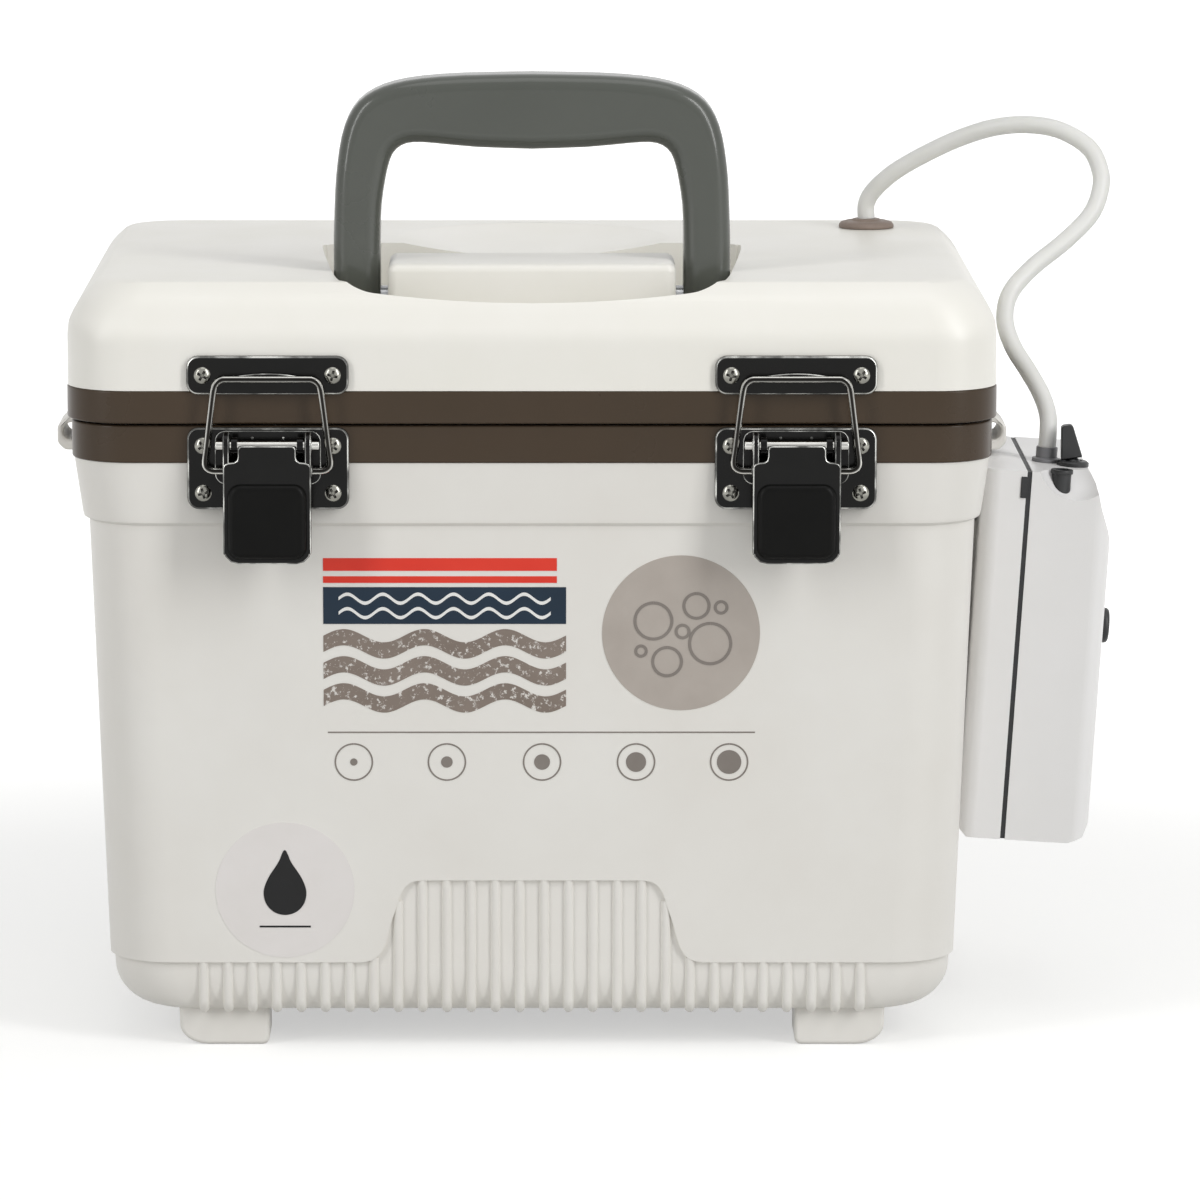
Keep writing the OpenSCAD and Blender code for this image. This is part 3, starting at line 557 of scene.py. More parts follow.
def makeHoses(look):
    outerLine = smoothLine(look["outer"], 8)
    tube = sweepTube(outerLine, look["radius"], look["sides"])
    outer = finishPiece("outerAirHose", tube, "tub", "hose_vinyl", hoseVinyl, ["air_hose"], 60, ride=False)
    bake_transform(outer)
    innerLine = smoothLine(look["inner"], 8)
    tube = sweepTube(innerLine, look["radius"], look["sides"])
    inner = finishPiece("innerAirHose", tube, "lid", "hose_vinyl", hoseVinyl, ["air_hose_drop"], 60)
    print("hoses", round(lineLength(outerLine), 4), round(lineLength(innerLine), 4))


makeHoses(hose)

# ---- tub
tub = {
    "footWidth": 279.6,
    "footDepth": 195,
    "panelZ": 29.3,
    "draft": 2,
    "bellyZ": 12.4,
    "skirtZ": 175.2,
    "bandZ": 196.2,
    "seamZ": 208.5,
    "corner": 22,
    "wall": 2.6,
    "roundX": 13,
    "roundY": 5,
    "ribStep": 1.4,
    "ribCount": 28,
    "ribPitch": 8,
    "ribRadius": 1.65,
    "ribTop": 57,
    # the right shoulder of the ribbed zone: X, and the share of its height
    "shoulder": [
        (56.2, 0), (53.2, 0.02), (51.2, 0.055), (49.6, 0.12), (48.5, 0.2), (47.6, 0.3), (46.4, 0.46),
        (44.8, 0.64), (43.2, 0.82), (42.4, 0.88), (41.2, 0.935), (39.2, 0.98), (36.4, 1),
    ],
    "turnZ": 16.6,  # where a rib begins to turn under, and the round's radius
    "turnRadius": 3.6,
    "lug": [(144, 187.5), (157.5, 187.5), (160, 190), (160, 195.5), (154.5, 201), (144, 201)],
    "lugDepth": 26,
    "lugBore": (155.2, 193.8, 3),  # X and height of its middle, and its radius
    "footFront": -90.5,
    "footLong": 22,
    # sections as for loftRounded
    "band": [
        (300, 212, 20, 196.2), (300, 212, 20, 208.5), (272.4, 184.4, 30.2, 208.5),
        (272.4, 184.4, 30.2, 206), (294, 206, 17.2, 206), (294, 206, 17.2, 196.2),
    ],
    "liner": [
        (237, 149, 18, 24), (238, 150, 19, 24), (244, 156, 21, 32), (256, 168, 26, 206),
        (272, 184, 30, 206), (272, 184, 30, 208.5), (252, 164, 24, 208.5), (240, 152, 20, 32),
        (238.6, 150.6, 19.5, 28.6), (235, 147, 18.4, 26.6), (232, 144, 17, 26),
    ],
}


def halfX(z):
    return tub["footWidth"] / 2 + (z - tub["panelZ"]) * math.tan(math.radians(tub["draft"]))


def halfY(z):
    return tub["footDepth"] / 2 + (z - tub["panelZ"]) * math.tan(math.radians(tub["draft"]))


# The ribbed zone's right shoulder, from its foot up, as (X, Z).
def shoulderLine():
    rise = tub["ribTop"] - tub["panelZ"]
    return [(p.x, tub["panelZ"] + rise * p.y) for p in smoothLine(tub["shoulder"], 3)]


# How high the ribbed zone reaches at a distance from the middle.
def zoneTop(x):
    line = shoulderLine()
    for (x0, z0), (x1, z1) in zip(line, line[1:]):
        if x1 <= abs(x) <= x0:
            return z0 + (z1 - z0) * (x0 - abs(x)) / (x0 - x1)
    return tub["panelZ"] if abs(x) > line[0][0] else tub["ribTop"]


def tubStations():
    stations = []
    for step in range(11):
        bend = 1 - math.cos(math.pi / 2 * (1 - step / 10))
        z = tub["bellyZ"] + tub["roundX"] * (1 - math.sin(math.pi / 2 * (1 - step / 10)))
        inX = tub["ribStep"] + tub["roundX"] * bend
        inY = tub["ribStep"] + tub["roundY"] * bend
        stations.append((2 * (halfX(z) - inX), 2 * (halfY(z) - inY), tub["corner"] - inX / 2, z))
    low, high, inner = tub["panelZ"], tub["skirtZ"], tub["wall"] + 1.8
    stations += [
        (2 * (halfX(low) - tub["ribStep"]), 2 * (halfY(low) - tub["ribStep"]), 21.3, low),
        (2 * halfX(low), 2 * halfY(low), 22, low),
        (2 * halfX(high), 2 * halfY(high), 21, high),
        (293.0, 207.8, 21, high + 1.1),
        (293.8, 208.3, 21, high + 2.4),
        (298.8, 210.8, 20, tub["bandZ"]),
        (293.4, 205.4, 17, tub["bandZ"]),
        (293.4, 205.4, 17, tub["seamZ"] - 2.6),
        (2 * halfX(198) - 6, 2 * halfY(198) - 6, 15, tub["seamZ"] - 2.6),
        (2 * (halfX(170) - inner), 2 * (halfY(170) - inner), 17, 170),
        (2 * (halfX(32) - inner), 2 * (halfY(32) - inner), 17, 32),
        (2 * (halfX(16) - 14), 2 * (halfY(16) - 9), 14, 16),
    ]
    return stations


def ribZoneCutter():
    line = shoulderLine()
    foot, low = line[0][0], tub["panelZ"] - 1
    outline = [(-foot, low), (foot, low)] + line + [(-x, z) for x, z in reversed(line)]
    deep = tub["ribStep"] + 0.02
    return prism([(x, -(halfY(z) - deep), z) for x, z in outline], (0, -8, 0))


# A rib runs straight down the wall from the ledge and turns under in a short round of its own.
def oneRib(x):
    top, turnZ, turnRadius = zoneTop(x) + 0.4, tub["turnZ"], tub["turnRadius"]
    line = [(x, -(halfY(z) - tub["ribStep"] - 0.35), z) for z in (top, (top + turnZ) / 2, turnZ)]
    for angle in (12, 24, 36, 48, 60, 72, 84):
        turn = math.radians(angle)
        y = line[2][1] + turnRadius * (1 - math.cos(turn))
        line.append((x, y, turnZ - turnRadius * math.sin(turn)))
    return sweepTube([Vector(p) for p in line], tub["ribRadius"], 14)


def lugForm(side):
    deep = tub["lugDepth"]
    return prism([(side * x, -deep / 2, z) for x, z in tub["lug"]], (0, deep, 0))


def footOutline():
    points = [(-86.7, 15), (-116.6, 15), (-116.3, 8)]
    for i in range(9):  # the wide round of the outer lower corner
        turn = math.radians(180 + 90 * i / 8)
        points.append((-106.8 + 9.5 * math.cos(turn), 6.8 + 6.8 * math.sin(turn)))
    for i in range(5):
        turn = math.radians(270 + 90 * i / 4)
        points.append((-88.9 + 2.2 * math.cos(turn), 2.2 + 2.2 * math.sin(turn)))
    return points


def makeTub():
    bm = clean(loftRounded(tubStations(), 10), 0.05)
    for side in (1, -1):
        cutter = ribZoneCutter()
        bmesh.ops.scale(cutter, vec=(1, side, 1), verts=cutter.verts)
        bm = combine(bm, cutter)
    clean(bm, 0.05)
    soften(bm, 0.7, 3, 30)
    middle = (tub["ribCount"] - 1) / 2
    ribs = [oneRib((i - middle) * tub["ribPitch"]) for i in range(tub["ribCount"])]
    face = twin(addTo(bmesh.new(), *ribs), "Y")
    foot = prism([(x, tub["footFront"], z) for x, z in footOutline()], (0, tub["footLong"], 0))
    soften(foot, 1.4, 3, 40)
    feet = twin(twin(foot, "X"), "Y")
    x, z, radius = tub["lugBore"]
    lug = combine(lugForm(1), rod(radius, (x, -20, z), (0, 40, 0)))
    soften(lug, 0.9, 3)
    addTo(bm, face, feet, twin(lug, "X"))
    finishPiece("tubShell", bm, "tub", "tub_plastic", tubPlastic, ["outer_tub"])
    band = loftRounded(tub["band"], 10, ring=True)
    for side in (1, -1):
        band = combine(band, lugForm(side))
    soften(band, 0.7, 3)
    finishPiece("tubBand", band, "tub", "band_plastic", bandPlastic, ["body_rim_band"])
    liner = loftRounded(tub["liner"], 12)
    soften(liner, 1.0, 3, 40)
    finishPiece("tubLiner", liner, "tub", "liner_plastic", linerPlastic, ["inner_liner"])
    print("tub")


makeTub()

# ---- lid
lid = {
    "width": 302.8,
    "depth": 214.8,
    "lowZ": 219.9,
    "topZ": 254.5,
    "blockZ": 258,
    "blockHalf": 47,
    "wellZ": 234,
    "corner": 21,
    # rise, and how far the sides and the front have gone in
    "profile": [
        (0, 0, 0), (12, 0, 0), (17.6, 0.1, 0.25), (22, 1.0, 2.0), (28.5, 4.8, 5.6), (33.2, 9.4, 11.2),
    ],
    "crown": [(34.0, 11, 12.4), (34.5, 16, 18)],
    # half of the well's rim in plan, from the bowed front to the rear
    "rim": [
        (0, -102), (24, -101.5), (48, -99.5), (56, -97.5), (61, -93.5), (63.6, -87),
        (67, -50), (70.7, 4), (68.5, 11.5), (62, 16.5),
    ],
    "dish": (35, 211, 5.5),  # how far back its middle is, the ball's radius, and the dish's depth
    "grommet": (116, 66, 6.2),
    # sections as for loftRounded
    "band": [
        (302.8, 214.8, 21, 209.2), (302.8, 214.8, 21, 219.9), (296.8, 208.8, 18, 219.9),
        (296.8, 208.8, 18, 209.2),
    ],
}


# The block between the handle's feet, upright corners rounded and the top edge soft.
def blockForm(low, high, topEdge=True):
    block = box((-lid["blockHalf"], -80, low), (lid["blockHalf"], -44, high))
    soften(block, 3, 5, 40, lambda e: abs(e.verts[0].co.z - e.verts[1].co.z) > 0.001)
    if topEdge:
        soften(block, 2.8, 5, 40, lambda e: min(v.co.z for v in e.verts) > (high - 0.01) * mm)
    return block


def makeLid():
    line = smoothLine(lid["profile"], 3) + [Vector(p) for p in lid["crown"]]
    width, depth, lowZ = lid["width"], lid["depth"], lid["lowZ"]
    stations = [
        (width - 0.4 - 2 * sideIn, depth - 0.4 - 2 * frontIn, lid["corner"] - sideIn / 3, lowZ + rise)
        for rise, sideIn, frontIn in line
    ]
    hollow = [(width - 14, depth - 14, 15, 229), (width - 14, depth - 14, 15, lowZ)]
    bm = clean(loftRounded(hollow + stations, 12), 0.05)
    half = smoothLine(lid["rim"], 5)
    outline = [tuple(p) for p in half] + [(-p[0], p[1]) for p in reversed(half[1:])]
    well = prism([(x, y, lid["wellZ"]) for x, y in outline], (0, 0, 60))
    h = lid["blockHalf"]
    behind = [(h, -62), (h, -60), (42.5, -16), (-42.5, -16), (-h, -60), (-h, -62)]
    well = combine(well, prism([(x, y, 220) for x, y in behind], (0, 0, 80)))
    well = combine(well, blockForm(220, 300, False))
    bm = combine(bm, blockForm(245, lid["blockZ"]), "UNION")
    bm = combine(bm, well)
    back, radius, deep = lid["dish"]
    dish = bmesh.new()
    bmesh.ops.create_uvsphere(dish, u_segments=96, v_segments=256, radius=radius * mm)
    bmesh.ops.translate(dish, vec=Vector((0, back, lid["topZ"] + radius - deep)) * mm, verts=dish.verts)
    bm = combine(bm, dish)
    x, y, radius = lid["grommet"]
    bm = combine(bm, rod(radius, (x, y, 200), (0, 0, 80), 32))
    clean(bm, 0.05)
    soften(bm, 1.0, 3, 24)
    finishPiece("lidShell", bm, "lid", "lid_plastic", lidPlastic, ["lid_shell"])
    band = soften(loftRounded(lid["band"], 10, ring=True), 0.7, 3)
    finishPiece("lidBand", band, "lid", "band_plastic", bandPlastic, ["lid_rim_band"])
    softCopy("lid_liner", "lidLiner", "lid", "liner_plastic", linerPlastic, 0.8, 3)
    softCopy("lid_gasket", "lidGasket", "lid", "gasket_rubber", sealRubber, 0.4)
    softCopy("hose_grommet", "hoseGrommet", "lid", "grommet_rubber", grommetRubber, 0.3, 2, 35)
    softCopy("hinge_lid_knuckles", "lidHingeKnuckles", "lid", "lid_plastic", lidPlastic, 0.4)
    softCopy("hinge_body_knuckles", "tubHingeKnuckles", "tub", "tub_plastic", tubPlastic, 0.4)
    softCopy("hinge_rod", "hingeRod", "tub", "plain_steel", plainSteel, 0.4)
    print("lid")


makeLid()

# ---- handle
handle = {
    "pivotY": 62,
    "pivotZ": 245,
    "thick": 20,
    "edge": 5,
    "bore": 4.05,
    "boreX": 40,
    "footIn": 0.4,  # the feet's round is this much smaller than half the thickness
    # halves of the outer and the inner outline, from the middle of the grip to the feet
    "outer": [
        (0, 319), (22, 318.6), (36, 317.6), (45, 316), (51.5, 313.6), (56.6, 310), (60, 305),
        (62.2, 298.6), (63.6, 290), (64.4, 281), (64.9, 266), (64.9, 250), (64.9, 233),
    ],
    "inner": [
        (0, 294.4), (18, 295), (32, 296.3), (38.6, 296.6), (42.6, 295.6), (45.4, 293), (46.9, 289),
        (48, 284), (49.2, 276), (49.6, 266), (49.6, 250), (49.6, 233),
    ],
}


def arc(x, z, radius, start, end, steps=10):
    turns = [math.radians(start + (end - start) * i / steps) for i in range(steps + 1)]
    return [(x + radius * math.cos(a), z + radius * math.sin(a)) for a in turns]


# The outline is rounded first, and its feet are then cut round when seen from the side.
def makeHandle():
    outer, inner = ([tuple(p) for p in smoothLine(handle[key], 2)] for key in ("outer", "inner"))
    mirrored = [[(-x, z) for x, z in half[1:]] for half in (outer, inner)]
    outline = outer[::-1] + mirrored[0] + mirrored[1][::-1] + inner
    y, z, deep = -handle["pivotY"], handle["pivotZ"], handle["thick"] / 2
    bm = prism([(px, y - deep, pz) for px, pz in outline], (0, 2 * deep, 0))
    soften(bm, handle["edge"], 7, 40, lambda e: abs(e.verts[0].co.y - e.verts[1].co.y) < 1e-6)
    foot = arc(y, z, deep - handle["footIn"], -180, -4, 22)
    wide = deep + 1
    side = [(y - wide, z + 85), (y - wide, z)] + foot + [(y + wide, z), (y + wide, z + 85)]
    bm = combine(bm, prism([(-80, py, pz) for py, pz in side], (160, 0, 0)), "INTERSECT")
    x = handle["boreX"]
    for s in (-1, 1):
        bm = combine(bm, rod(handle["bore"], (s * x, y, z), (s * x, 0, 0)))
    finishPiece("carryHandle", bm, "carry_handle", "handle_plastic", handlePlastic, ["handle"])
    softCopy("handle_pivot_pins", "handlePins", "lid", "plain_steel", plainSteel, 0.3)
    print("handle")


makeHandle()

# ---- latches
latch = {
    "x": 85.3,
    "pivot": (-113.2, 203),
    "bailPivot": (-111.6, 194.5),
    "wireRadius": 1.1,
    "wire": [
        (12.6, -111.6, 194.5), (15.5, -111.6, 194.5), (18.0, -111.6, 194.6), (19.7, -111.65, 195.6),
        (20.15, -111.7, 197.6), (19.6, -111.8, 202), (18.4, -112.0, 212), (17.3, -112.2, 220.4),
        (16.4, -112.2, 222.9), (14.6, -112.2, 224.15), (12, -112.2, 224.3), (0, -112.2, 224.3),
    ],
    # half of the lever's front plate: full width below, a narrower tongue between the ears above
    "plate": [
        (0, 165), (9.4, 165), (11.8, 165.6), (13.6, 167.4), (14.2, 169.8), (14.2, 196.6),
        (13.6, 197.6), (12.4, 198), (10.6, 198.2), (9.7, 198.8), (9.4, 200), (9.4, 202.2),
        (9.0, 203.1), (8.1, 203.5), (0, 203.5),
    ],
    "plateFace": -118,
    # the lever's ears, as (Y, Z), below the round about its pivot
    "ear": [(-109, 202.5), (-109.2, 194.5), (-110.2, 192.1), (-114.2, 186), (-114.8, 168), (-118, 168)],
    "pad": (0, 178.8, 25.6, 24.6, 4.2),
    "padFace": -120,
    "lip": (171.5, 54.6, -110.7),  # height of its arch's middle, the arch's radius, and its front
    # the base's ears, from the pivot out, as (Y, Z)
    "web": [(-2.2, -1.4), (2, -3), (6, -5.5), (6, 2), (2.4, 0.5)],
    "plateWidth": 52.4,
    "keeper": (225.2, 12.6, -109.1),  # height of its middle, height over all, front face
    "base": (194.7, 26.7, -107.7),
    "emboss": (198.4, 17.6, -108.4),
    # where two tiny rivet heads sit, bright all over as painted highlights
    "dot": (5, -108.35, 204.8),
    "screws": 21,
}


# A flat shape facing the front, its face at depth y and t thick; points are (x, z).
def facing(points, y, t):
    return prism([(x, y, z) for x, z in points], (0, t, 0))


def softRect(x, z, width, height, radius, steps=6):
    w, h = width / 2 - radius, height / 2 - radius
    corners = ((w, h, 0), (-w, h, 90), (-w, -h, 180), (w, -h, 270))
    return [p for a, b, turn in corners for p in arc(x + a, z + b, radius, turn, turn + 90, steps)]


def foremost(y):
    return lambda e: max(v.co.y for v in e.verts) < (y + 0.1) * mm


def leverForm():
    half, front = latch["plate"], latch["plateFace"]
    lever = facing(half + [(-x, z) for x, z in reversed(half[1:-1])], front, 1.8)
    soften(lever, 0.6, 4, 40, foremost(front), rim=True)
    ear = arc(*latch["pivot"], 4.4, 180, 0, 18)
    ear = prism([(12.2, p, q) for p, q in ear + latch["ear"]], (2, 0, 0))
    soften(ear, 0.5, 4, 40, rim=True)
    addTo(lever, twin(ear, "X"))
    eyes = ((latch["pivot"], 2.3), (latch["bailPivot"], 1.9))
    for (y, z), radius in eyes:  # rolled round the pins
        eye = combine(rod(radius, (12, y, z), (2.4, 0, 0)), rod(1.4, (10, y, z), (6, 0, 0)))
        soften(eye, 0.25, 4, 40, rim=True)
        addTo(lever, twin(eye, "X"))
    return lever


def leverPad():
    front = latch["padFace"]
    pad = facing(softRect(*latch["pad"], 8), front, 3.6)
    return soften(pad, 2.3, 6, 40, foremost(front))


def plateForm(spot):
    middle, height, front = spot
    plate = facing(softRect(0, middle, latch["plateWidth"], height, 3.8), front, 1.7)
    return soften(plate, 0.9, 4, 40, foremost(front), rim=True)


def keeperForm():
    middle, radius, front = latch["lip"]
    lip = facing([(-17, 219.2), (17, 219.2)] + arc(0, middle, radius, 71.7, 108.3, 16), front, 2.1)
    soften(lip, 0.55, 4, 50, foremost(front), rim=True)
    return addTo(plateForm(latch["keeper"]), lip)


def baseForm():
    middle, height, front = latch["emboss"]
    emboss = facing(softRect(0, middle, 34.4, height, 3.5), front, 1)
    soften(emboss, 0.5, 4, 40, foremost(front), rim=True)
    y, z = latch["pivot"]
    web = prism([(9.6, y + a, z + b) for a, b in latch["web"]], (2, 0, 0))
    ear = combine(rod(2.7, (9.6, y, z), (2, 0, 0)), web, "UNION")
    soften(ear, 0.35, 4, 50, rim=True)
    # Two tiny rivet heads, marked all over for the bright edge colour: painted highlights.
    x, y, z = latch["dot"]
    dots = [ball((side * x, y, z), 0.5) for side in (-1, 1)]
    for dot in dots:
        layer = dot.verts.layers.float.new("rim")
        for vert in dot.verts:
            vert[layer] = 1
    return addTo(plateForm(latch["base"]), emboss, twin(ear, "X"), *dots)


# A screw's domed head with a cross cut into it, facing the front, turned by its place.
def screwHead(x, y, z):
    head = ball((0, 0, 0), 3.4)
    bmesh.ops.scale(head, vec=(1, 0.8, 1), verts=head.verts)
    head = combine(head, box((-4, -1.6, -4), (4, 4, 4)))
    bmesh.ops.translate(head, vec=(0, 1.55 * mm, 0), verts=head.verts)
    for a, b in ((1.7, 0.4), (0.4, 1.7)):
        head = combine(head, box((-a, -4, -b), (a, -0.3, b)))
    soften(clean(head, 0.05), 0.12, 2, 50)
    turn = Matrix.Rotation(0.4 + 7 * abs(x) + z, 3, "Y")
    bmesh.ops.rotate(head, cent=(0, 0, 0), matrix=turn, verts=head.verts)
    bmesh.ops.translate(head, vec=Vector((x, y + 0.05, z)) * mm, verts=head.verts)
    return head


def makeLatches():
    half = smoothLine(latch["wire"], 4)
    y, z = latch["pivot"]
    for side, sign in (("left", -1), ("right", 1)):
        shift = Matrix.Translation((sign * latch["x"] * mm, 0, 0))
        line = half + [Vector((-p[0], p[1], p[2])) for p in reversed(half[:-1])]
        pin = rod(1.5, (-16.8, y, z), (33.6, 0, 0), 32)
        pieces = {
            "Keeper": (keeperForm(), "lid", "latch_enamel", latchEnamel, [f"latch_keeper_{side}"]),
            "Base": (baseForm(), "tub", "latch_enamel", latchEnamel, [f"latch_base_{side}"]),
            "Lever": (leverForm(), f"lever_{side}", "latch_enamel", latchEnamel, [f"latch_lever_{side}"]),
            "Pad": (leverPad(), f"lever_{side}", "latch_enamel", padNylon, ()),
            "Wire": (
                sweepTube(line, latch["wireRadius"], 14), f"bail_{side}", "bright_steel", wireChrome,
                [f"latch_bail_{side}"],
            ),
            "Pin": (
                soften(pin, 0.4, 3, 40), "tub", "bright_steel", nickelPlate,
                ["latch_pivot_pins"] if side == "left" else (),
            ),
        }
        for part, (bm, *facts) in pieces.items():
            bmesh.ops.transform(bm, matrix=shift, verts=bm.verts)
            finishPiece(f"latch{part}{side.title()}", bm, *facts)
    rows = {"latchBaseScrews": ("base", "tub", (-8, 7.4)), "latchKeeperScrews": ("keeper", "lid", (0,))}
    for name, (plate, body, offsets) in rows.items():
        middle, height, front = latch[plate]
        heads = [
            screwHead(sign * latch["x"] + sx * latch["screws"], front, middle + up)
            for sign in (-1, 1)
            for sx in (-1, 1)
            for up in offsets
        ]
        node = "latch_base_screws" if plate == "base" else "latch_keeper_screws"
        finishPiece(name, addTo(bmesh.new(), *heads), body, "bright_steel", screwNickel, [node])
    print("latches")


makeLatches()

# ---- air pump, made upright like its source: u away from the tub, v along its depth, w up
pump = {
    "at": (142.7, -2.5, 61),
    "lean": 3.6,
    "thick": 44,
    "depth": 85,
    "height": 125,
    "wall": 2.2,
    "seam": 15.2,
    "toggle": (31, -21.5),
    "toggleLean": -12,
    "paddle": [(-3.6, 2.6), (3.6, 2.6), (1.9, 13.4), (1.2, 14), (-1.4, 14), (-2.1, 13.4)],
    "scoop": (31, -44, 129),
    "scoopRadius": 13,
    # the top's bores for the barb, the toggle and the intake cap: u, v, foot and radius
    "bores": ((22.5, -15.5, 100, 2.8), (31, -21.5, 118, 3.75), (26.4, -35.5, 110, 3.25)),
    "button": (68, 6, 49.2),  # height of its middle, its radius, and how far out its face stands
}


def pumpSide(i):
    t, h = pump["thick"], pump["height"]
    return [
        (i, i + 3), (i + 3, i), (t - i - 7, i), (t - i - 2, i + 2), (t - i, i + 7), (t - i, 102),
        (t - i - 1, 106), (t - i - 4, 114), (38 - i, 121.5), (36 - i, h - i), (i, h - i),
    ]


def pumpForm(i, edge=0.0):
    t, d = pump["thick"], pump["depth"]
    plan = loftRounded([(t - 2 * i, d - 2 * i, 6 - i, -5), (t - 2 * i, d - 2 * i, 6 - i, 135)], 8)
    bmesh.ops.translate(plan, vec=(t / 2 * mm, 0, 0), verts=plan.verts)
    form = combine(plan, prism([(u, -d / 2, w) for u, w in pumpSide(i)], (0, d, 0)), "INTERSECT")
    clean(form, 0.05)
    if edge:
        soften(form, edge, 4, 24)
    return form


def placePump(bm):
    turn = Matrix.Rotation(math.radians(pump["lean"]), 4, "Y")
    bmesh.ops.transform(bm, matrix=Matrix.Translation(Vector(pump["at"]) * mm) @ turn, verts=bm.verts)
    return bm


def pumpSlab(u0, u1):
    return box((u0, -60, -10), (u1, 60, 150))


def makePump():
    seam = pump["seam"]
    rear = combine(pumpForm(0, 1.8), pumpSlab(-1, seam - 0.8), "INTERSECT")
    rear = combine(rear, pumpForm(pump["wall"]))
    rear = combine(rear, box((seam - 2.7, -44, 115.9), (seam + 1.3, -40, 123.1)))
    soften(clean(rear, 0.05), 0.35, 2, 50)
    finishPiece("pumpRearCover", placePump(rear), "tub", "tub_plastic", pumpPlastic, ["pump_back_cover"])
    front = combine(pumpForm(0, 1.8), pumpSlab(seam + 0.8, 60), "INTERSECT")
    scoop, radius = pump["scoop"], pump["scoopRadius"]
    front = combine(front, combine(pumpForm(pump["wall"]), ball(scoop, radius + pump["wall"])))
    front = combine(front, ball(scoop, radius))
    for u, v, w, radius in pump["bores"]:
        front = combine(front, rod(radius, (u, v, w), (0, 0, 30)))
    height, radius, face = pump["button"]
    front = combine(front, rod(radius + 0.15, (pump["thick"] - 8, 0, height), (20, 0, 0)))
    soften(clean(front, 0.05), 0.35, 2, 50)
    placePump(front)
    finishPiece("pumpHousing", front, "tub", "tub_plastic", pumpPlastic, ["pump_front_housing"])
    softCopy("pump_seal", "pumpSeal", "tub", "gasket_rubber", sealRubber, 0.2)
    for node, name, slotName, material in (
        ("pump_hose_barb", "pumpHoseBarb", "barb_plastic", barbPlastic),
        ("pump_intake_cap", "pumpIntakeCap", "black_plastic", blackPlastic),
        ("pump_toggle_base", "pumpToggleBase", "black_plastic", blackPlastic),
    ):
        softCopy(node, name, "tub", slotName, material, 0.2, 2, 35)
    toggle = soften(prism([(u, -2.2, w) for u, w in pump["paddle"]], (0, 4.4, 0)), 0.7, 3, 30)
    toggle = combine(toggle, ball((0, 0, 0), 3), "UNION")
    u, v = pump["toggle"]
    turn = Matrix.Rotation(math.radians(pump["toggleLean"]), 4, "Y")
    turn = Matrix.Translation(Vector((u, v, pump["height"])) * mm) @ turn
    bmesh.ops.transform(toggle, matrix=turn, verts=toggle.verts)
    finishPiece("pumpToggle", placePump(toggle), "toggle", "black_plastic", blackPlastic, ["pump_toggle"])
    button = rod(radius, (38, 0, height), (face - 38, 0, 0))
    soften(button, 1.4, 5, 40)
    finishPiece("pumpButton", placePump(button), "button", "black_plastic", blackPlastic, ["pump_button"])
    softCopy("pump_bracket", "pumpBracket", "tub", "tub_plastic", tubPlastic, 0.6)
    print("pump")


makePump()

# ---- nodes that keep their CAD shape
carriedOver = {
    "foam_core": cutFoam, "lid_foam": cutFoam, "air_stone": stoneGrit, "pump_bracket_screws": nickelPlate,
    "battery_tray": blackPlastic, "battery_front": cellWrap, "battery_rear": cellWrap,
    "battery_springs": nickelPlate, "battery_contacts": contactBrass, "pump_motor": plainSteel,
    "pump_rotor": plainSteel, "pump_diaphragm": sealRubber, "pump_head": blackPlastic,
}
for node, material in carriedOver.items():
    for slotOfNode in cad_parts[node].material_slots:
        slotOfNode.material = material


# ---- printed labels: plain shapes of the right size and colour, with no words
# Printed vinyl: flat ink with a slight tooth, under a satin film.
def printedVinyl(name, colour, deep, rough=0.35, fleck=None):
    look = {
        "colour": colour, "deep": deep, "rough": rough, "uneven": 0.03, "driftMm": 25,
        "grainMm": 0.4, "depthMm": 0.003,
    }
    if fleck:
        look["fleck"] = fleck
    return surface(name, look, {"Specular IOR Level": 0.25, "Coat Weight": 0.04, "Coat Roughness": 0.2})


redInk = printedVinyl("redInk", "#E5402F", "#DD382A")
navyInk = printedVinyl("navyInk", "#12293C", "#0D2233")
whiteInk = printedVinyl("whiteInk", "#F0F0EE", "#EAEAE8")
taupeInk = printedVinyl("wornTaupeInk", "#8B7F76", "#7E7269", 0.4, "#DEDAD5")
discInk = printedVinyl("paleTaupeInk", "#B9B1A9", "#AFA69E")
greyInk = printedVinyl("greyInk", "#8A837D", "#7F7872")
blackInk = printedVinyl("blackInk", "#1A1A1B", "#141415")
clearFilm = printedVinyl("clearLabelFilm", "#E9E5E3", "#E5E1DE", 0.22)

label = {
    "lift": 0.12,  # one layer of film
    "left": -67.9,
    "right": 11.1,
    "disc": (48.5, 139.8, 25.7),
    "film": (-81, 53.8, 22.8),
    # from the disc's middle: X, Z and radius
    "bubbles": [
        (-9, 4, 6.5), (5, 9, 4.6), (9.5, -3.5, 7.2), (-4.5, -9.5, 5.2), (0.5, 0.5, 2.6),
        (-13, -6, 2.2), (13, 8.5, 2.4),
    ],
    # each ring's X, and its dot's radius
    "rings": [(-58.2, 1.2), (-27.8, 1.9), (3.3, 2.6), (34, 3.3), (64.4, 4)],
    "ringZ": 96.8,
    "drop": [
        (0, 13.5), (2.2, 9.2), (5.4, 4.2), (7, -0.4), (6.2, -4.6), (3.6, -7.4), (0, -8.4),
        (-3.6, -7.4), (-6.2, -4.6), (-7, -0.4), (-5.4, 4.2), (-2.2, 9.2),
    ],
}


# A flat shape on the sloping front wall: points are (x, z) in mm, raised by layers of film.
def onWall(points, layer):
    lift = label["lift"] * layer
    return prism([(x, -(halfY(z) + lift), z) for x, z in points], (0, lift + 0.05, 0))


def disc(x, z, radius, steps):
    return arc(x, z, radius, 0, 360 - 360 / steps, steps - 1)


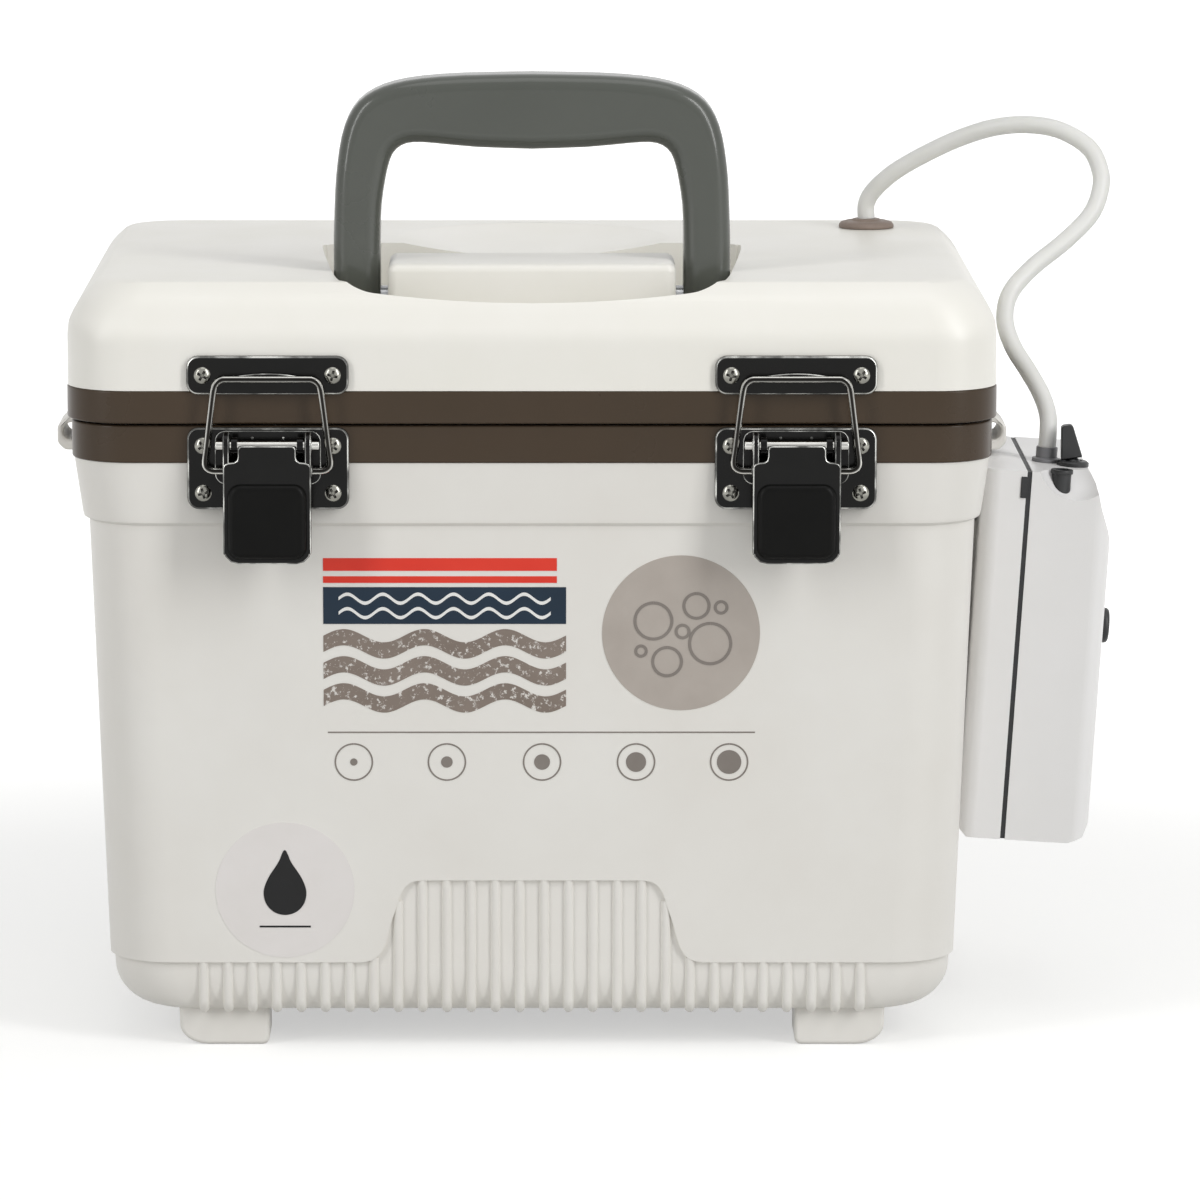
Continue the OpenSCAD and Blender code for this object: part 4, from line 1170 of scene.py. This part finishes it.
# A ring is cut at its top, so that it is one outline.
def ringBand(x, z, radius, width, steps):
    return arc(x, z, radius, 90, 449.5, steps) + arc(x, z, radius - width, 449.5, 90, steps)


def waveBand(x0, x1, z, height, length, thick, steps):
    top, low = [], []
    for i in range(steps + 1):
        x = x0 + (x1 - x0) * i / steps
        rise = height * math.sin(2 * math.pi * (x - x0) / length)
        top.append((x, z + rise + thick / 2))
        low.append((x, z + rise - thick / 2))
    return low + top[::-1]


def bar(x0, x1, z0, z1):
    return [(x0, z0), (x1, z0), (x1, z1), (x0, z1)]


def makeLabels():
    left, right, ringZ = label["left"], label["right"], label["ringZ"]
    x, z, radius = label["disc"]
    fx, fz, filmRadius = label["film"]
    waves = [waveBand(left + 5, right - 5, h, 1.5, 11.5, 1.1, 110) for h in (146.4, 151.2)]
    bars = [waveBand(left, right, h, 2.2, 26.3, 5.4, 120) for h in (118.2, 127.2, 136.2)]
    bubbles = [ringBand(x + a, z + b, r, 1.0, 40) for a, b, r in label["bubbles"]]
    rings = [ringBand(c, ringZ, 6.3, 0.5, 48) for c, r in label["rings"]]
    dots = [disc(c, ringZ, r, 32) for c, r in label["rings"]]
    drop = [tuple(p) for p in smoothLine([(fx + px, fz + pz) for px, pz in label["drop"]], 6, True)]
    groups = {  # ink, layers up from the wall, and shapes
        "labelRed": (redInk, 1, [bar(left, right - 3, 156.4, 158.6), bar(left, right - 3, 160.4, 164.6)]),
        "labelNavy": (navyInk, 1, [bar(left, right, 142.8, 155)]),
        "labelWaves": (whiteInk, 2, waves),
        "labelBars": (taupeInk, 1, bars),
        "labelDisc": (discInk, 1, [disc(x, z, radius, 96)]),
        "labelBubbles": (greyInk, 2, bubbles),
        "labelRule": (greyInk, 1, [bar(-66.6, 72.8, 106.5, 106.95)]),
        "labelRings": (greyInk, 1, rings + dots),
        "labelFilm": (clearFilm, 1, [disc(fx, fz, filmRadius, 96)]),
        "labelDrop": (blackInk, 2, [drop, bar(fx - 8.4, fx + 8.4, fz - 12.6, fz - 12.0)]),
    }
    for name, (material, layer, shapes) in groups.items():
        bm = addTo(bmesh.new(), *[onWall(points, layer) for points in shapes])
        finishPiece(name, bm, "tub", "tub_plastic", material)
    print("labels")


makeLabels()

# ---- floor, world and lamps
studio = {
    "floor": "#C9C9C7",
    "floorSize": 12,
    "floorGlow": (0.5, 1.0),  # what the camera sees added near the object, and far from it
    "glowReach": (0.25, 0.9),
    "fill": 0.36,  # light that the world gives the object
    "lamps": [
        # name, place, size, watts, what it points at
        ("keyLamp", (1.9, -1.6, 1.45), (0.6, 2.4), 38, (0, 0, 0.14)),
        ("sideLamp", (-2.0, -1.6, 1.25), (0.5, 2.2), 22, (0, 0, 0.14)),
        ("topLamp", (0.2, -0.4, 2.6), (1.6, 1.2), 8, (0, 0, 0.2)),
    ],
}


# One for the rays that look at the studio itself, straight or in a gloss, and nought for its light.
def lookingRays(tree):
    rays = addNode(tree, "ShaderNodeLightPath").outputs
    seen = maths(tree, "MAXIMUM", rays["Is Camera Ray"], rays["Is Glossy Ray"])
    return maths(tree, "MAXIMUM", seen, rays["Is Transmission Ray"])


def makeFloor():
    settings = {"Base Color": linear(studio["floor"]), "Roughness": 0.8, "Emission Color": (1, 1, 1, 1)}
    material, tree, shader, place = newMaterial("paleFloor", settings)
    away = addNode(tree, "ShaderNodeVectorMath", {"operation": "LENGTH"}, {0: place}).outputs["Value"]
    low, high = studio["floorGlow"]
    fade = {"interpolation_type": "SMOOTHSTEP", "To Min": low, "To Max": high}
    glow = stretch(tree, away, *studio["glowReach"], fade)
    shown = maths(tree, "MULTIPLY", glow, lookingRays(tree))
    tree.links.new(shown, shader.inputs["Emission Strength"])
    bm = bmesh.new()
    bmesh.ops.create_grid(bm, x_segments=1, y_segments=1, size=studio["floorSize"] / 2)
    mesh = bpy.data.meshes.new("floor")
    bm.to_mesh(mesh)
    bm.free()
    mesh.materials.append(material)
    floor = bpy.data.objects.new("floor", mesh)
    scene.collection.objects.link(floor)


def makeStudio():
    world = bpy.data.worlds.new("paleStudio")
    scene.world = world
    world.use_nodes = True
    tree = world.node_tree
    tree.nodes.clear()
    strength = stretch(tree, lookingRays(tree), 0, 1, {"To Min": studio["fill"], "To Max": 1.0})
    back = addNode(tree, "ShaderNodeBackground", {"Color": (1, 1, 1, 1)}, {"Strength": strength})
    addNode(tree, "ShaderNodeOutputWorld", {}, {"Surface": back.outputs[0]})
    for name, place, size, watts, aim in studio["lamps"]:
        data = bpy.data.lights.new(name, "AREA")
        data.shape, data.size, data.size_y, data.energy = "RECTANGLE", size[0], size[1], watts
        lamp = bpy.data.objects.new(name, data)
        lamp.location = place
        lamp.rotation_euler = (Vector(aim) - Vector(place)).to_track_quat("-Z", "Y").to_euler()
        scene.collection.objects.link(lamp)
    scene.view_settings.view_transform = "Standard"
    print("studio")


makeFloor()
makeStudio()
